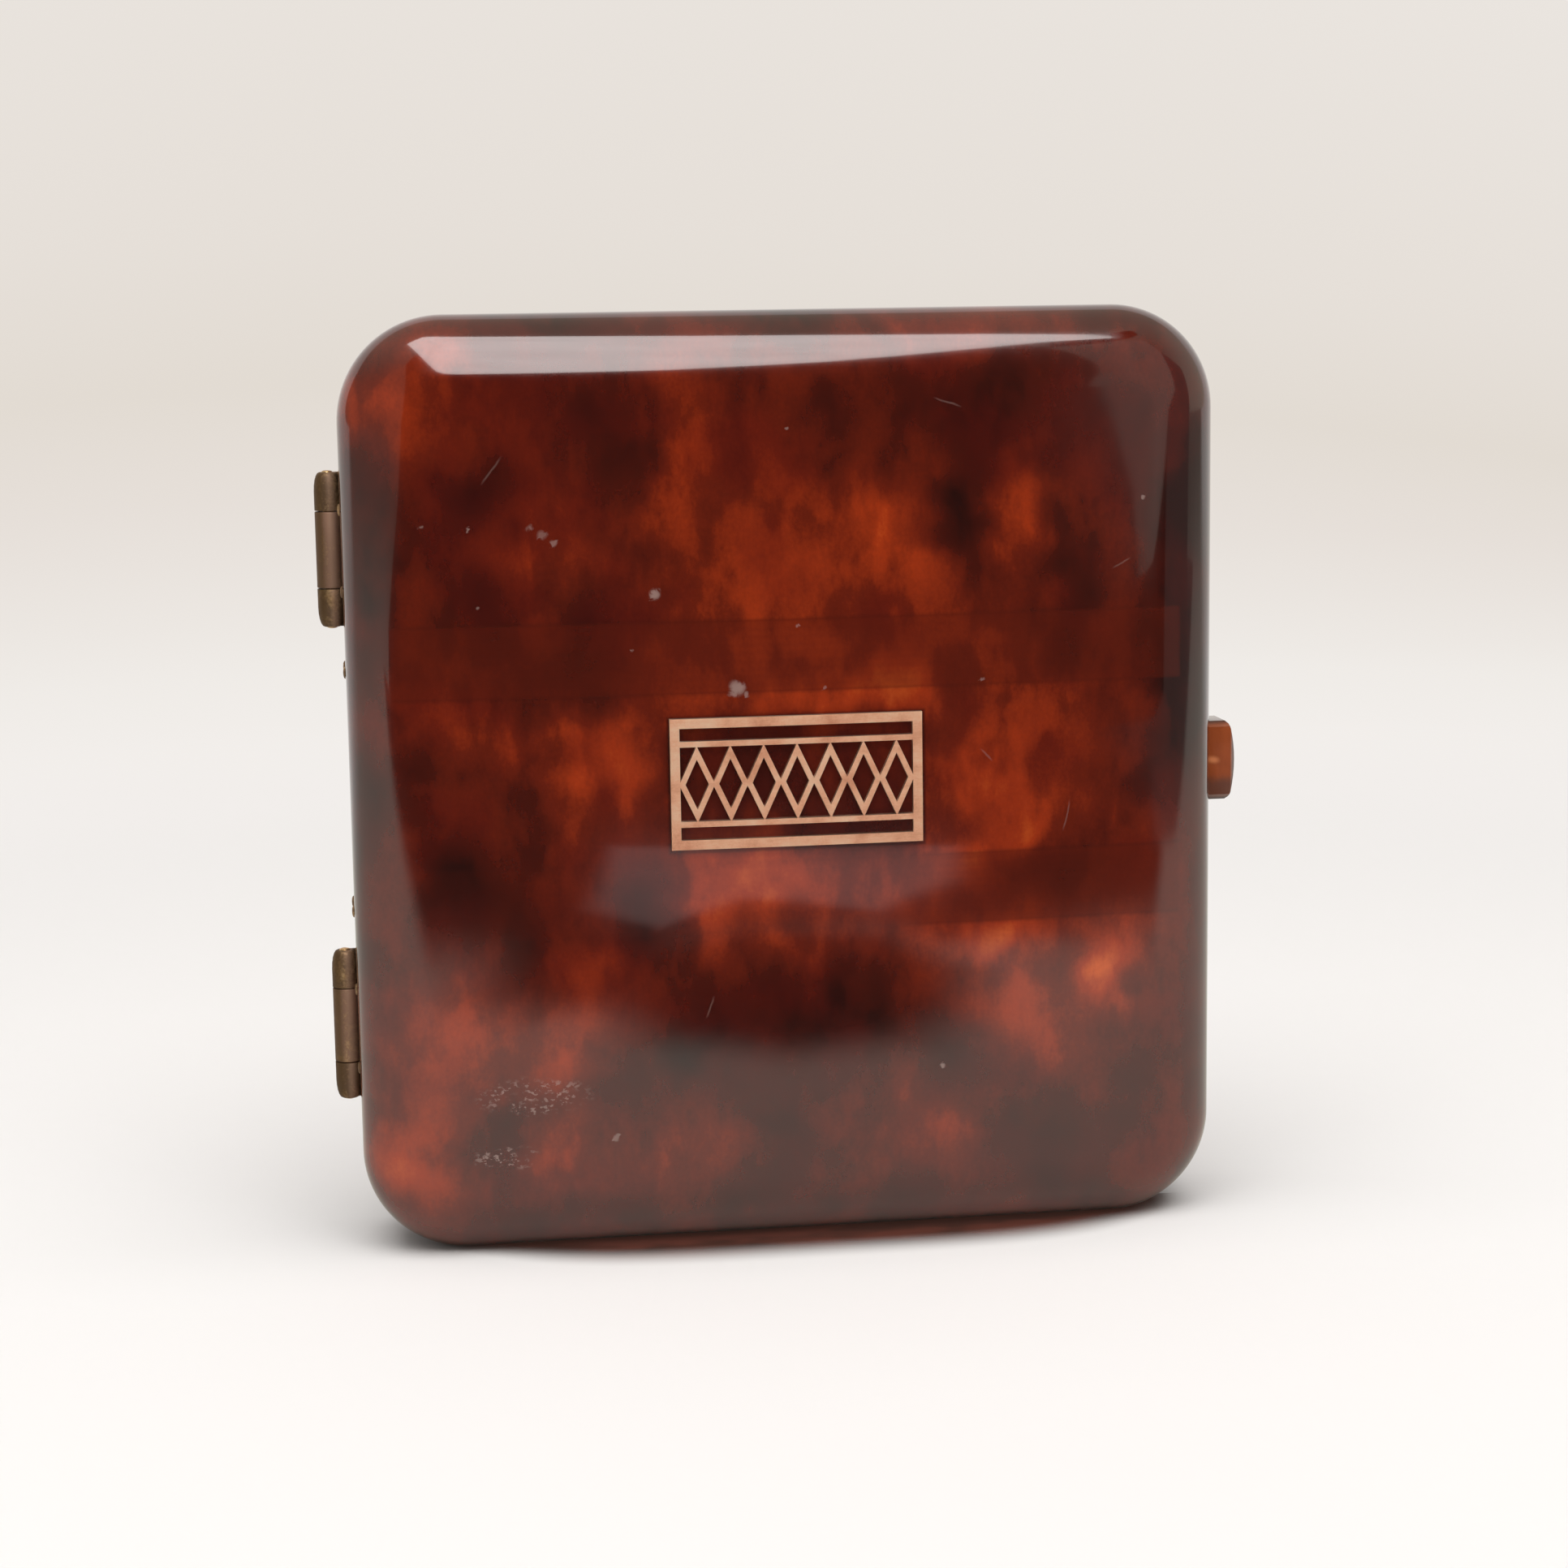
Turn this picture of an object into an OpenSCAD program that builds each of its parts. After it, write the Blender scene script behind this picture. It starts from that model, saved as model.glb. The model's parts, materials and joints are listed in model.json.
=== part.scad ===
// Hinged cigarette case with cushion-shaped halves, elastic straps and a push-button catch.
// It stands on its lower edge: +X to the button, -Y out of the front face, +Z up.
// Every piece is drawn about the middle of the closed case and then moved by placed().

/* [Case] */
// Width of the two halves, without hinges and button
case_w = 78; // [74:1:88]
// Height of the two halves
case_h = 83.5; // [80:0.5:96]
// Thickness of the closed case at the middle of its faces
case_t = 18; // [17:0.5:21]
// Radius of the outline's four corners
corner_r = 9.3; // [8.8:0.1:13]
// Thickness of the shells
wall_t = 1.8; // [1.6:0.1:2]
// Flat band on the sides, from the seam to where the edge rolls over
rim_band = 3; // [3:0.1:3.4]
// How far in from the side the rolled edge runs
roll_run = 6.5; // [5.5:0.5:8]
// How much the face domes above the rolled edge
dome_h = 1.6; // [0.8:0.1:2]
// Half the gap between the two rims at the seam
seam_gap = 0.04; // [0.02:0.01:0.08]

/* [Locating lip] */
// How far the lip strips stand past the seam into the front half
lip_h = 1; // [0.6:0.1:1.4]
// Thickness of the lip strips
lip_t = 0.6; // [0.5:0.1:0.8]
// Gap between the lip and the front half's wall
lip_clear = 0.12; // [0.08:0.02:0.2]
// How far the lip strips reach down inside the back half
lip_foot = 2.2; // [1.4:0.1:2.6]

/* [Hinges] */
// Length of each hinge
hinge_len = 13.6; // [12:0.2:16]
// Outer radius of the knuckles
knuckle_r = 1.2; // [1.1:0.05:1.4]
// Radius of the hinge pins
pin_r = 0.5; // [0.4:0.05:0.6]
// Distance of the hinge axis from the side wall
axis_out = 1; // [1:0.05:1.4]
// Thickness of the leaves
leaf_t = 0.45; // [0.35:0.05:0.6]
// Radial gap between pin and bore
pin_clear = 0.03; // [0.02:0.01:0.05]
// Gap between one knuckle and the next
knuckle_gap = 0.1; // [0.06:0.02:0.2]
// Gap between the hinge and the recess in the rims
hinge_clear = 0.12; // [0.08:0.02:0.2]
// Length over which the hinge's two ends round in towards the pin
nose_len = 1.7; // [1:0.1:2.2]
// Thickness that is left round the pin at those ends
nose_wall = 0.16; // [0.12:0.02:0.4]
// How far the pin's rounded ends stand out of the hinge
pin_end = 0.15; // [0.05:0.05:0.25]
// Distance between a leaf's two rivets
hinge_rivet_gap = 7.2; // [6:0.2:9]
// Gap along the wall between a strap and the hinge beside it
hinge_gap = 0.4; // [0.3:0.1:2]

/* [Rivets] */
// Radius of the rivet shanks
rivet_r = 0.35; // [0.25:0.05:0.4]
// Radius of the heads outside the case
rivet_head_r = 0.55; // [0.5:0.05:0.65]
// Height of the heads outside the case
rivet_head_h = 0.2; // [0.1:0.05:0.3]
// Radius of the tails inside the case
rivet_tail_r = 0.5; // [0.45:0.05:0.6]
// Height of the tails inside the case
rivet_tail_h = 0.2; // [0.1:0.05:0.3]
// Distance of the rivets from the seam
rivet_y = 2.3; // [2.2:0.05:2.35]
// Radial gap between a shank and its hole
rivet_clear = 0.02; // [0.01:0.01:0.05]

/* [Straps] */
// Width of the elastic straps
strap_w = 7; // [5:0.5:8.5]
// Thickness of the elastic
strap_t = 0.7; // [0.5:0.05:0.9]
// Distance of the straps from the seam
strap_y = 0.4; // [0.3:0.05:0.6]
// Radius of the bend where a strap turns down the wall
strap_bend = 1; // [0.9:0.1:1.4]
// Gap along the wall between the catch and the straps
strap_gap = 0.43; // [0.4:0.05:3]
// Length of the clamp plates that hold the strap ends, along the wall
clamp_len = 6; // [3:0.5:6.5]
// Thickness of the clamp plates
clamp_t = 0.3; // [0.2:0.05:0.4]

/* [Catch] */
// Height of the push button
button_h = 7.3; // [6:0.1:9]
// Width of the push button across the seam
button_w = 4.4; // [3.8:0.1:4.6]
// How far the button stands out of the side
button_out = 2.9; // [2.2:0.1:3.6]
// Bevel round the button's outer end
button_bevel = 0.45; // [0.3:0.05:0.6]
// Bevel along the button's four long edges
button_edge = 0.5; // [0.3:0.05:0.6]
// How much the button's outer end is rounded
button_crown = 0.45; // [0.2:0.05:0.6]
// Travel of the button when it is pressed
button_travel = 1; // [0.8:0.1:1.2]
// Gap between the button and its window in the rims
button_clear = 0.12; // [0.08:0.02:0.2]
// Thickness of the plate behind the button
plate_t = 0.5; // [0.4:0.05:0.6]
// How far the plate reaches behind the wall above and below the window
plate_over = 0.85; // [0.6:0.05:1.2]
// Gap between the plate and the wall that stops it
plate_gap = 0.05; // [0.03:0.01:0.1]
// Width of the hook
hook_w = 4.4; // [3:0.2:4.6]
// Thickness of the hook's strip
hook_t = 0.5; // [0.4:0.05:0.6]
// How far the hook's nose reaches over the keeper's ledge
hook_bite = 0.6; // [0.4:0.05:0.7]
// Gap between the hook and the keeper
hook_clear = 0.13; // [0.1:0.01:0.2]
// How far the keeper's ledge stands off the wall
ledge_out = 1.15; // [1:0.05:1.3]
// Thickness of the keeper's ledge
ledge_t = 0.9; // [0.7:0.05:1]
// Thickness of the keeper's ears
ear_t = 0.5; // [0.4:0.05:0.6]
// How far the keeper's ears reach from their rivets towards the seam
ear_reach = 1.2; // [0.8:0.1:1.4]
// Length of each foot of the housing and each ear of the keeper
foot_len = 1.6; // [1.5:0.1:2.2]
// Thickness of the housing's sheet
housing_t = 0.4; // [0.3:0.05:0.5]
// Space left for the flattened bow spring when the button is pressed
spring_left = 0.85; // [0.7:0.05:1.4]
// Thickness of the bow spring
spring_t = 0.2; // [0.15:0.05:0.3]
// Radius of the pins that hold the button to its plate
button_pin_r = 0.3; // [0.2:0.05:0.35]
// How deep those pins go into the button
button_pin_in = 1.6; // [1.2:0.1:2.5]

/* [Badge] */
// Width of the badge
badge_w = 22.4; // [18:0.2:28]
// Height of the badge
badge_h = 11.6; // [9:0.2:14]
// Width of the badge's frame
badge_bar = 0.85; // [0.6:0.05:1.2]
// Thickness of the badge
badge_t = 0.5; // [0.3:0.05:0.8]
// Height of the badge's middle above the case's middle
badge_up = 0.7; // [0:0.1:2]
// Width of the lines inside the frame
fret_bar = 0.5; // [0.3:0.05:0.7]
// Height of the row of lozenges
fret_h = 6.6; // [4:0.2:7]
// Number of lozenges in the row
fret_count = 7; // [5:1:9]
// Radius of the prongs that hold the badge
prong_r = 0.3; // [0.2:0.05:0.35]

/* [Hidden] */

tortoise = [0.42, 0.12, 0.05];
amber = [0.55, 0.22, 0.08];
brass = [0.62, 0.47, 0.25];
elastic = [0.36, 0.20, 0.13];
steel = [0.62, 0.62, 0.6];
copper = [0.85, 0.6, 0.46];

BACK = 1;
FRONT = -1;
LEFT = -1;
RIGHT = 1;
// Gap between flat faces that seat on each other
seat = 0.02;
// How far a cutter reaches past what it cuts
past = 0.5;
round_fn = 48;
corner_steps = 8;
side_steps = 7;
roll_steps = 7;
dome_steps = 5;
nose_steps = 5;

half_w = case_w / 2;
half_h = case_h / 2;
half_t = case_t / 2;
inner_w = half_w - wall_t;
roll_rise = half_t - rim_band - dome_h;
// The pieces on the inner wall stop just short of the rolled edge
leg_end = rim_band - 0.05;

hinge_x = -(half_w + axis_out);
hinge_out = axis_out + knuckle_r;

window_h = button_h / 2 + button_clear;
window_y = button_w / 2 + button_clear;
plate_h = window_h + plate_over;
housing_h = plate_h + 0.15;
catch_h = housing_h + housing_t + foot_len;
// Where the catch's pieces end near the seam, and where the hook steps in
catch_y = 0.5;
step_y = catch_y + 0.6;
spring_room = button_travel + spring_left;
foot_z = housing_h + housing_t + foot_len / 2;
plate_x = inner_w - plate_gap - plate_t;
hook_x = plate_x - hook_t;
bridge_x = hook_x - spring_room;
ledge_x = inner_w - ledge_out;
ledge_y = window_y + 0.15;
stem_x = ledge_x - hook_clear;
nose_x = ledge_x + hook_bite;
nose_y = ledge_y + ledge_t + hook_clear;
pin_z = hook_w / 2 + button_pin_r + 0.4;
pin_y = button_w / 2 - button_pin_r - 0.6;
flush_h = 0.3;

strap_z = catch_h + strap_gap + strap_w / 2;
hinge_z = strap_z + strap_w / 2 + hinge_gap + hinge_len / 2;
lip_break = strap_z + strap_w / 2 + 1.5;
clamp_top = strap_y + strap_t + 0.3;

badge_out = badge_t + seat;

// The middle of the closed case goes to the place that puts the part's box over the origin
module placed() {
    translate([(hinge_out - button_out) / 2, badge_out / 2, half_h]) children();
}

// Outlines, as lists of [x, z] points that run counter-clockwise

function arc(cx, cz, r, start) =
    [for (i = [0:corner_steps])
        let (a = start + 90 * i / corner_steps)
        [cx + r * cos(a), cz + r * sin(a)]];

function between(p, q) =
    [for (i = [1:side_steps - 1]) p + (q - p) * i / side_steps];

function outline(hx, hz, r) =
    let (c1 = arc(hx - r, hz - r, r, 0),
         c2 = arc(r - hx, hz - r, r, 90),
         c3 = arc(r - hx, r - hz, r, 180),
         c4 = arc(hx - r, r - hz, r, 270),
         n = corner_steps)
    concat(c1, between(c1[n], c2[0]), c2, between(c2[n], c3[0]),
           c3, between(c3[n], c4[0]), c4, between(c4[n], c1[0]));

// The outline of the case, moved in from its sides by an inset
function inset_outline(inset) =
    outline(half_w - inset, half_h - inset, corner_r - inset);

// The cushion surface: a flat band, an elliptic rolled edge, then a dome.
// Its rings run from the rim to the middle of the face.

function crown(p, wall) =
    dome_h * (1 - pow(p[0] / (half_w - wall), 2)) * (1 - pow(p[1] / (half_h - wall), 2));

function raised(points, wall, y) =
    [for (p = points) [p[0], -(y + crown(p, wall)), p[1]]];

function rim_ring(wall) = [for (p = inset_outline(wall)) [p[0], -seam_gap, p[1]]];

function roll_rings(wall) =
    [for (i = [0:roll_steps])
        let (a = 90 * i / roll_steps,
             inset = wall + (roll_run - wall) * (1 - cos(a)),
             rise = (roll_rise - wall) * sin(a))
        raised(inset_outline(inset), wall, rim_band + rise)];

function dome_rings(wall) =
    [for (i = [1:dome_steps - 1])
        let (share = 1 - i / dome_steps)
        raised([for (p = inset_outline(roll_run)) p * share], wall,
               rim_band + roll_rise - wall)];

function surface_rings(wall) = concat([rim_ring(wall)], roll_rings(wall), dome_rings(wall));

function flat_list(lists) = [for (one = lists) for (item = one) item];

// Two triangles for each step round a band between two rings of n points
function band_faces(n, low, high) =
    [for (i = [0:n - 1]) let (j = (i + 1) % n)
        each [[low + i, high + i, low + j], [low + j, high + i, high + j]]];

function fan_faces(n, ring, tip) =
    [for (i = [0:n - 1]) [ring + i, tip, ring + (i + 1) % n]];

function turned(faces) = [for (f = faces) [f[2], f[1], f[0]]];

// A profile of [r, z] points turned over in z, in the order that goes on round the same way
function mirrored(points) =
    [for (i = [len(points) - 1:-1:0]) [points[i][0], -points[i][1]]];

// One hollow half, with its rim at the seam and its dome towards -Y
module half_shell() {
    rings_out = surface_rings(0);
    rings_in = surface_rings(wall_t);
    n = len(rings_out[0]);
    last = len(rings_out) - 1;
    first_in = n * (last + 1) + 1;
    top = rim_band + roll_rise + dome_h;
    points = concat(flat_list(rings_out), [[0, -top, 0]],
                    flat_list(rings_in), [[0, -(top - wall_t), 0]]);
    outside = concat(flat_list([for (k = [0:last - 1]) band_faces(n, n * k, n * (k + 1))]),
                     fan_faces(n, n * last, first_in - 1));
    inside = concat(flat_list([for (k = [0:last - 1])
                        band_faces(n, first_in + n * k, first_in + n * (k + 1))]),
                    fan_faces(n, first_in + n * last, first_in + n * (last + 1)));
    rim = band_faces(n, first_in, 0);
    polyhedron(points = points, faces = turned(concat(outside, turned(inside), rim)));
}

// Small tools for pieces on the walls

// Children drawn for the +X wall and the back half go to the named wall and half
module at_wall(wall, half) {
    scale([wall, half, 1]) children();
}

module box(low, high) {
    translate(low) cube(high - low);
}

// A round bar along X from x0 to x1
module bar_x(r, x0, x1, y, z) {
    translate([x0, y, z]) rotate([0, 90, 0]) cylinder(r = r, h = x1 - x0, $fn = round_fn);
}

// A rivet along X through the wall, with a low domed head outside and a tail inside
module rivet(tail_x, y, z) {
    head_x = half_w + seat;
    rise = rivet_head_h;
    translate([0, y, z]) rotate([0, 90, 0]) rotate_extrude($fn = round_fn)
        polygon([[0, tail_x - rivet_tail_h], [rivet_tail_r, tail_x - rivet_tail_h],
                 [rivet_tail_r, tail_x], [rivet_r, tail_x], [rivet_r, head_x],
                 [rivet_head_r, head_x], [rivet_head_r * 0.9, head_x + rise * 0.5],
                 [rivet_head_r * 0.6, head_x + rise * 0.85], [0, head_x + rise]]);
}

// A rivet whose head is sunk flush with the outside of the wall
module flush_rivet(tail_x, y, z) {
    translate([0, y, z]) rotate([0, 90, 0]) rotate_extrude($fn = round_fn)
        polygon([[0, tail_x - rivet_tail_h], [rivet_tail_r, tail_x - rivet_tail_h],
                 [rivet_tail_r, tail_x], [rivet_r, tail_x], [rivet_r, half_w - flush_h],
                 [rivet_head_r, half_w - flush_h], [rivet_head_r, half_w], [0, half_w]]);
}

module rivet_hole(y, z) {
    bar_x(rivet_r + rivet_clear, inner_w - 2, half_w + past, y, z);
}

// Shells

module lip_sheet(inset_out, inset_in) {
    difference() {
        polygon(inset_outline(inset_out));
        polygon(inset_outline(inset_in));
    }
}

// Two strips cemented inside the back rim, one over the top and one along the bottom.
// They turn the button side's corners and stop short of the straps and the catch.
module locating_lip() {
    inset_in = wall_t + lip_clear + lip_t;
    placed() color(tortoise) intersection() {
        union() {
            translate([0, lip_foot, 0]) rotate([90, 0, 0])
                linear_extrude(lip_foot + lip_h) lip_sheet(wall_t + lip_clear, inset_in);
            translate([0, lip_foot, 0]) rotate([90, 0, 0])
                linear_extrude(lip_foot - seam_gap) lip_sheet(wall_t + seat, inset_in);
        }
        difference() {
            box([corner_r - half_w, -case_t, -case_h], [half_w, case_t, case_h]);
            box([0, -case_t, -lip_break], [case_w, case_t, lip_break]);
        }
    }
}

// Holes and recesses that both halves have, drawn for the back half
module wall_cuts() {
    for (side = [-1, 1]) {
        translate([0, 0, side * hinge_z]) {
            translate([hinge_x, 0, -hinge_len / 2 - hinge_clear])
                cylinder(r = knuckle_r + hinge_clear, h = hinge_len + 2 * hinge_clear,
                         $fn = round_fn);
            box([hinge_x, -past, -hinge_len / 2 - hinge_clear],
                [past - inner_w, seam_gap + leaf_t + seat, hinge_len / 2 + hinge_clear]);
            at_wall(LEFT, BACK) for (k = [-0.5, 0.5]) rivet_hole(rivet_y, k * hinge_rivet_gap);
        }
        for (wall = [LEFT, RIGHT]) at_wall(wall, BACK) rivet_hole(rivet_y, side * strap_z);
        at_wall(RIGHT, BACK) rivet_hole(rivet_y, side * foot_z);
    }
    box([inner_w - 1, -past, -window_h], [half_w + past, window_y, window_h]);
}

module back_shell() {
    placed() color(tortoise) difference() {
        mirror([0, 1, 0]) half_shell();
        wall_cuts();
    }
}

module front_shell() {
    placed() color(tortoise) difference() {
        half_shell();
        mirror([0, 1, 0]) wall_cuts();
        for (side = [-1, 1]) {
            bar_x(rivet_head_r + rivet_clear, half_w - flush_h - seat, half_w + past,
                  -rivet_y, side * foot_z);
            translate([side * prong_x(), past - half_t + wall_t, badge_up])
                rotate([90, 0, 0])
                    cylinder(r = prong_r + rivet_clear, h = wall_t + 2 * past, $fn = round_fn);
        }
    }
}

// Hinges

// The rounded end of a barrel, from its end face to its full radius, towards +Z
function nose(z_end) =
    let (end_r = pin_r + pin_clear + nose_wall)
    [for (i = [0:nose_steps])
        let (a = 90 * i / nose_steps)
        [end_r + (knuckle_r - end_r) * sin(a), z_end + nose_len * (1 - cos(a))]];

// A knuckle along the hinge axis, rounded where it ends the hinge
module knuckle(z0, z1) {
    rotate_extrude($fn = round_fn)
        polygon(concat([[0, z0]],
                       z0 <= -hinge_len / 2 ? nose(z0) : [[knuckle_r, z0]],
                       z1 >= hinge_len / 2 ? mirrored(nose(-z1)) : [[knuckle_r, z1]],
                       [[0, z1]]));
}

back_knuckles = [[-hinge_len / 2, -hinge_len / 4 - knuckle_gap / 2],
                 [hinge_len / 4 + knuckle_gap / 2, hinge_len / 2]];
front_knuckles = [[-hinge_len / 4 + knuckle_gap / 2, hinge_len / 4 - knuckle_gap / 2]];

// A leaf with its web across the rim and its leg down the inside of the wall
module leaf(half, knuckles) {
    face_x = seat - inner_w;
    web_x = hinge_x + knuckle_r + hinge_clear;
    difference() {
        union() {
            for (k = knuckles) {
                translate([hinge_x, 0, 0]) knuckle(k[0], k[1]);
                scale([1, half, 1])
                    box([hinge_x, seam_gap, k[0]], [web_x + past, seam_gap + leaf_t, k[1]]);
            }
            scale([1, half, 1]) {
                box([web_x, seam_gap, -hinge_len / 2],
                    [face_x + leaf_t, seam_gap + leaf_t, hinge_len / 2]);
                translate([face_x, 0, 0]) rotate([90, 0, 90]) linear_extrude(leaf_t)
                    polygon([[seam_gap, -hinge_len / 2], [leg_end - 0.6, -hinge_len / 2],
                             [leg_end, 0.6 - hinge_len / 2], [leg_end, hinge_len / 2 - 0.6],
                             [leg_end - 0.6, hinge_len / 2], [seam_gap, hinge_len / 2]]);
            }
        }
        translate([hinge_x, 0, -hinge_len])
            cylinder(r = pin_r + pin_clear, h = 2 * hinge_len, $fn = round_fn);
        at_wall(LEFT, half) for (k = [-0.5, 0.5]) rivet_hole(rivet_y, k * hinge_rivet_gap);
    }
}

// A pin with low rounded ends that stand out of the barrel
module hinge_pin() {
    top = hinge_len / 2;
    end = [[pin_r, top], [pin_r * 0.85, top + pin_end * 0.6], [pin_r * 0.5, top + pin_end],
           [0, top + pin_end]];
    translate([hinge_x, 0, 0]) rotate_extrude($fn = round_fn)
        polygon(concat(mirrored(end), end));
}

module hinge_rivets(half) {
    for (side = [-1, 1], k = [-0.5, 0.5])
        at_wall(LEFT, half)
            rivet(inner_w - leaf_t - 2 * seat, rivet_y, side * hinge_z + k * hinge_rivet_gap);
}

module at_hinge(side) {
    placed() color(brass) translate([0, 0, side * hinge_z]) children();
}

module upper_hinge_back_leaf() { at_hinge(1) leaf(BACK, back_knuckles); }
module upper_hinge_front_leaf() { at_hinge(1) leaf(FRONT, front_knuckles); }
module upper_hinge_pin() { at_hinge(1) hinge_pin(); }
module lower_hinge_back_leaf() { at_hinge(-1) leaf(BACK, back_knuckles); }
module lower_hinge_front_leaf() { at_hinge(-1) leaf(FRONT, front_knuckles); }
module lower_hinge_pin() { at_hinge(-1) hinge_pin(); }
module hinge_rivets_back() { placed() color(brass) hinge_rivets(BACK); }
module hinge_rivets_front() { placed() color(brass) hinge_rivets(FRONT); }

// Straps

module rounded_sheet(hx, hy, r) {
    polygon(outline(hx, hy, r));
}

// An elastic strap across a half, with its ends turned down the two walls
module strap(half, side) {
    reach = inner_w - seat;
    placed() color(elastic) translate([0, 0, side * strap_z - strap_w / 2]) scale([1, half, 1])
        difference() {
            linear_extrude(strap_w) intersection() {
                difference() {
                    translate([0, strap_y + 10]) rounded_sheet(reach, 10, strap_bend);
                    translate([0, strap_y + 10])
                        rounded_sheet(reach - strap_t, 10 - strap_t, strap_bend - strap_t);
                }
                translate([-case_w, 0]) square([2 * case_w, leg_end]);
            }
            for (wall = [LEFT, RIGHT]) at_wall(wall, BACK) rivet_hole(rivet_y, strap_w / 2);
        }
}

module strap_clamps(half) {
    x = inner_w - strap_t - 2 * seat;
    placed() color(brass) for (wall = [LEFT, RIGHT], side = [-1, 1])
        at_wall(wall, half) translate([0, 0, side * strap_z]) difference() {
            box([x - clamp_t, clamp_top, -clamp_len / 2], [x, leg_end, clamp_len / 2]);
            rivet_hole(rivet_y, 0);
        }
}

module strap_rivets(half) {
    x = inner_w - strap_t - clamp_t - 3 * seat;
    placed() color(brass) for (wall = [LEFT, RIGHT], side = [-1, 1])
        at_wall(wall, half) rivet(x, rivet_y, side * strap_z);
}

module back_upper_strap() { strap(BACK, 1); }
module back_lower_strap() { strap(BACK, -1); }
module front_upper_strap() { strap(FRONT, 1); }
module front_lower_strap() { strap(FRONT, -1); }
module strap_clamps_back() { strap_clamps(BACK); }
module strap_clamps_front() { strap_clamps(FRONT); }
module strap_rivets_back() { strap_rivets(BACK); }
module strap_rivets_front() { strap_rivets(FRONT); }

// Catch

module button_pin_holes(x0, x1) {
    for (side = [-1, 1]) bar_x(button_pin_r + rivet_clear, x0, x1, pin_y, side * pin_z);
}

// A rectangle from low_x to high[0] and from -high[1] to high[1], with its two corners at high[0] cut off
module cut_sheet(low_x, high, bevel) {
    polygon([[low_x, -high[1]], [high[0] - bevel, -high[1]], [high[0], bevel - high[1]],
             [high[0], high[1] - bevel], [high[0] - bevel, high[1]], [low_x, high[1]]]);
}

// A block with bevelled edges and a rounded outer end
module push_button() {
    x0 = inner_w - plate_gap + seat;
    x1 = half_w + button_out;
    hz = button_h / 2;
    hy = button_w / 2;
    edge_x = x1 - button_crown;
    crown_z = hz - 1.6 * button_bevel;
    end = [for (i = [-4:4]) [x1 - button_crown * pow(i / 4, 2), crown_z * i / 4]];
    corner = [[edge_x - 0.35 * button_bevel, hz - 0.6 * button_bevel],
              [edge_x - button_bevel, hz], [x0, hz]];
    placed() color(amber) difference() {
        intersection() {
            translate([0, hy, 0]) rotate([90, 0, 0]) linear_extrude(button_w)
                polygon(concat(mirrored(corner), end, corner));
            translate([0, 0, -hz]) linear_extrude(button_h)
                cut_sheet(x0, [x1, hy], button_bevel);
            translate([x0, 0, 0]) rotate([90, 0, 90]) linear_extrude(x1 - x0)
                intersection() {
                    cut_sheet(-hy, [hy, hz], button_edge);
                    mirror([1, 0]) cut_sheet(-hy, [hy, hz], button_edge);
                }
        }
        button_pin_holes(x0 - past, x0 + button_pin_in + seat);
    }
}

module button_plate() {
    placed() color(brass) difference() {
        box([plate_x, catch_y, -plate_h], [plate_x + plate_t, leg_end, plate_h]);
        button_pin_holes(plate_x - past, plate_x + plate_t + past);
    }
}

module button_pins() {
    placed() color(brass) for (side = [-1, 1]) {
        bar_x(button_pin_r, plate_x - seat, inner_w - plate_gap + seat + button_pin_in,
              pin_y, side * pin_z);
        bar_x(button_pin_r + 0.15, plate_x - seat - rivet_tail_h, plate_x - seat,
              pin_y, side * pin_z);
    }
}

// The hook's strip lies on the plate, steps in past the keeper's ledge and turns out behind it
module catch_hook() {
    x = plate_x - seat;
    placed() color(brass) translate([0, 0, -hook_w / 2]) linear_extrude(hook_w)
        polygon([[x, leg_end], [x, catch_y + 0.3], [stem_x, -0.3], [stem_x, -nose_y],
                 [nose_x, -nose_y], [nose_x, -nose_y - 0.25], [stem_x, -nose_y - 0.95],
                 [stem_x - hook_t, -nose_y - 0.95], [stem_x - hook_t, 0],
                 [x - hook_t, step_y], [x - hook_t, leg_end]]);
}

// A folded bridge over plate and hook, with a riveted foot at each end
module catch_housing() {
    x = inner_w - seat;
    placed() color(brass) difference() {
        union() {
            box([bridge_x - housing_t, catch_y, -housing_h - housing_t],
                [bridge_x, leg_end, housing_h + housing_t]);
            for (side = [-1, 1]) scale([1, 1, side]) {
                box([bridge_x - housing_t, catch_y, housing_h],
                    [x, leg_end, housing_h + housing_t]);
                box([x - housing_t, catch_y, housing_h], [x, leg_end, catch_h]);
            }
        }
        for (side = [-1, 1]) rivet_hole(rivet_y, side * foot_z);
    }
}

// A bowed strip whose ends rest on the bridge and whose crown presses on the hook
module catch_spring() {
    half_z = housing_h - 0.3;
    sag = spring_room - 3 * seat - spring_t;
    r_in = (half_z * half_z + sag * sag) / (2 * sag);
    centre_x = hook_x - 2 * seat - spring_t - r_in;
    placed() color(steel) intersection() {
        translate([centre_x, leg_end - 0.1, 0]) rotate([90, 0, 0])
            linear_extrude(leg_end - step_y - 0.2) difference() {
                circle(r = r_in + spring_t, $fn = 96);
                circle(r = r_in, $fn = 96);
            }
        box([bridge_x + seat, 0, -half_z], [inner_w, rim_band, half_z]);
    }
}

module catch_rivets() {
    placed() color(brass) for (side = [-1, 1])
        at_wall(RIGHT, BACK) rivet(inner_w - housing_t - 2 * seat, rivet_y, side * foot_z);
}

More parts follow.
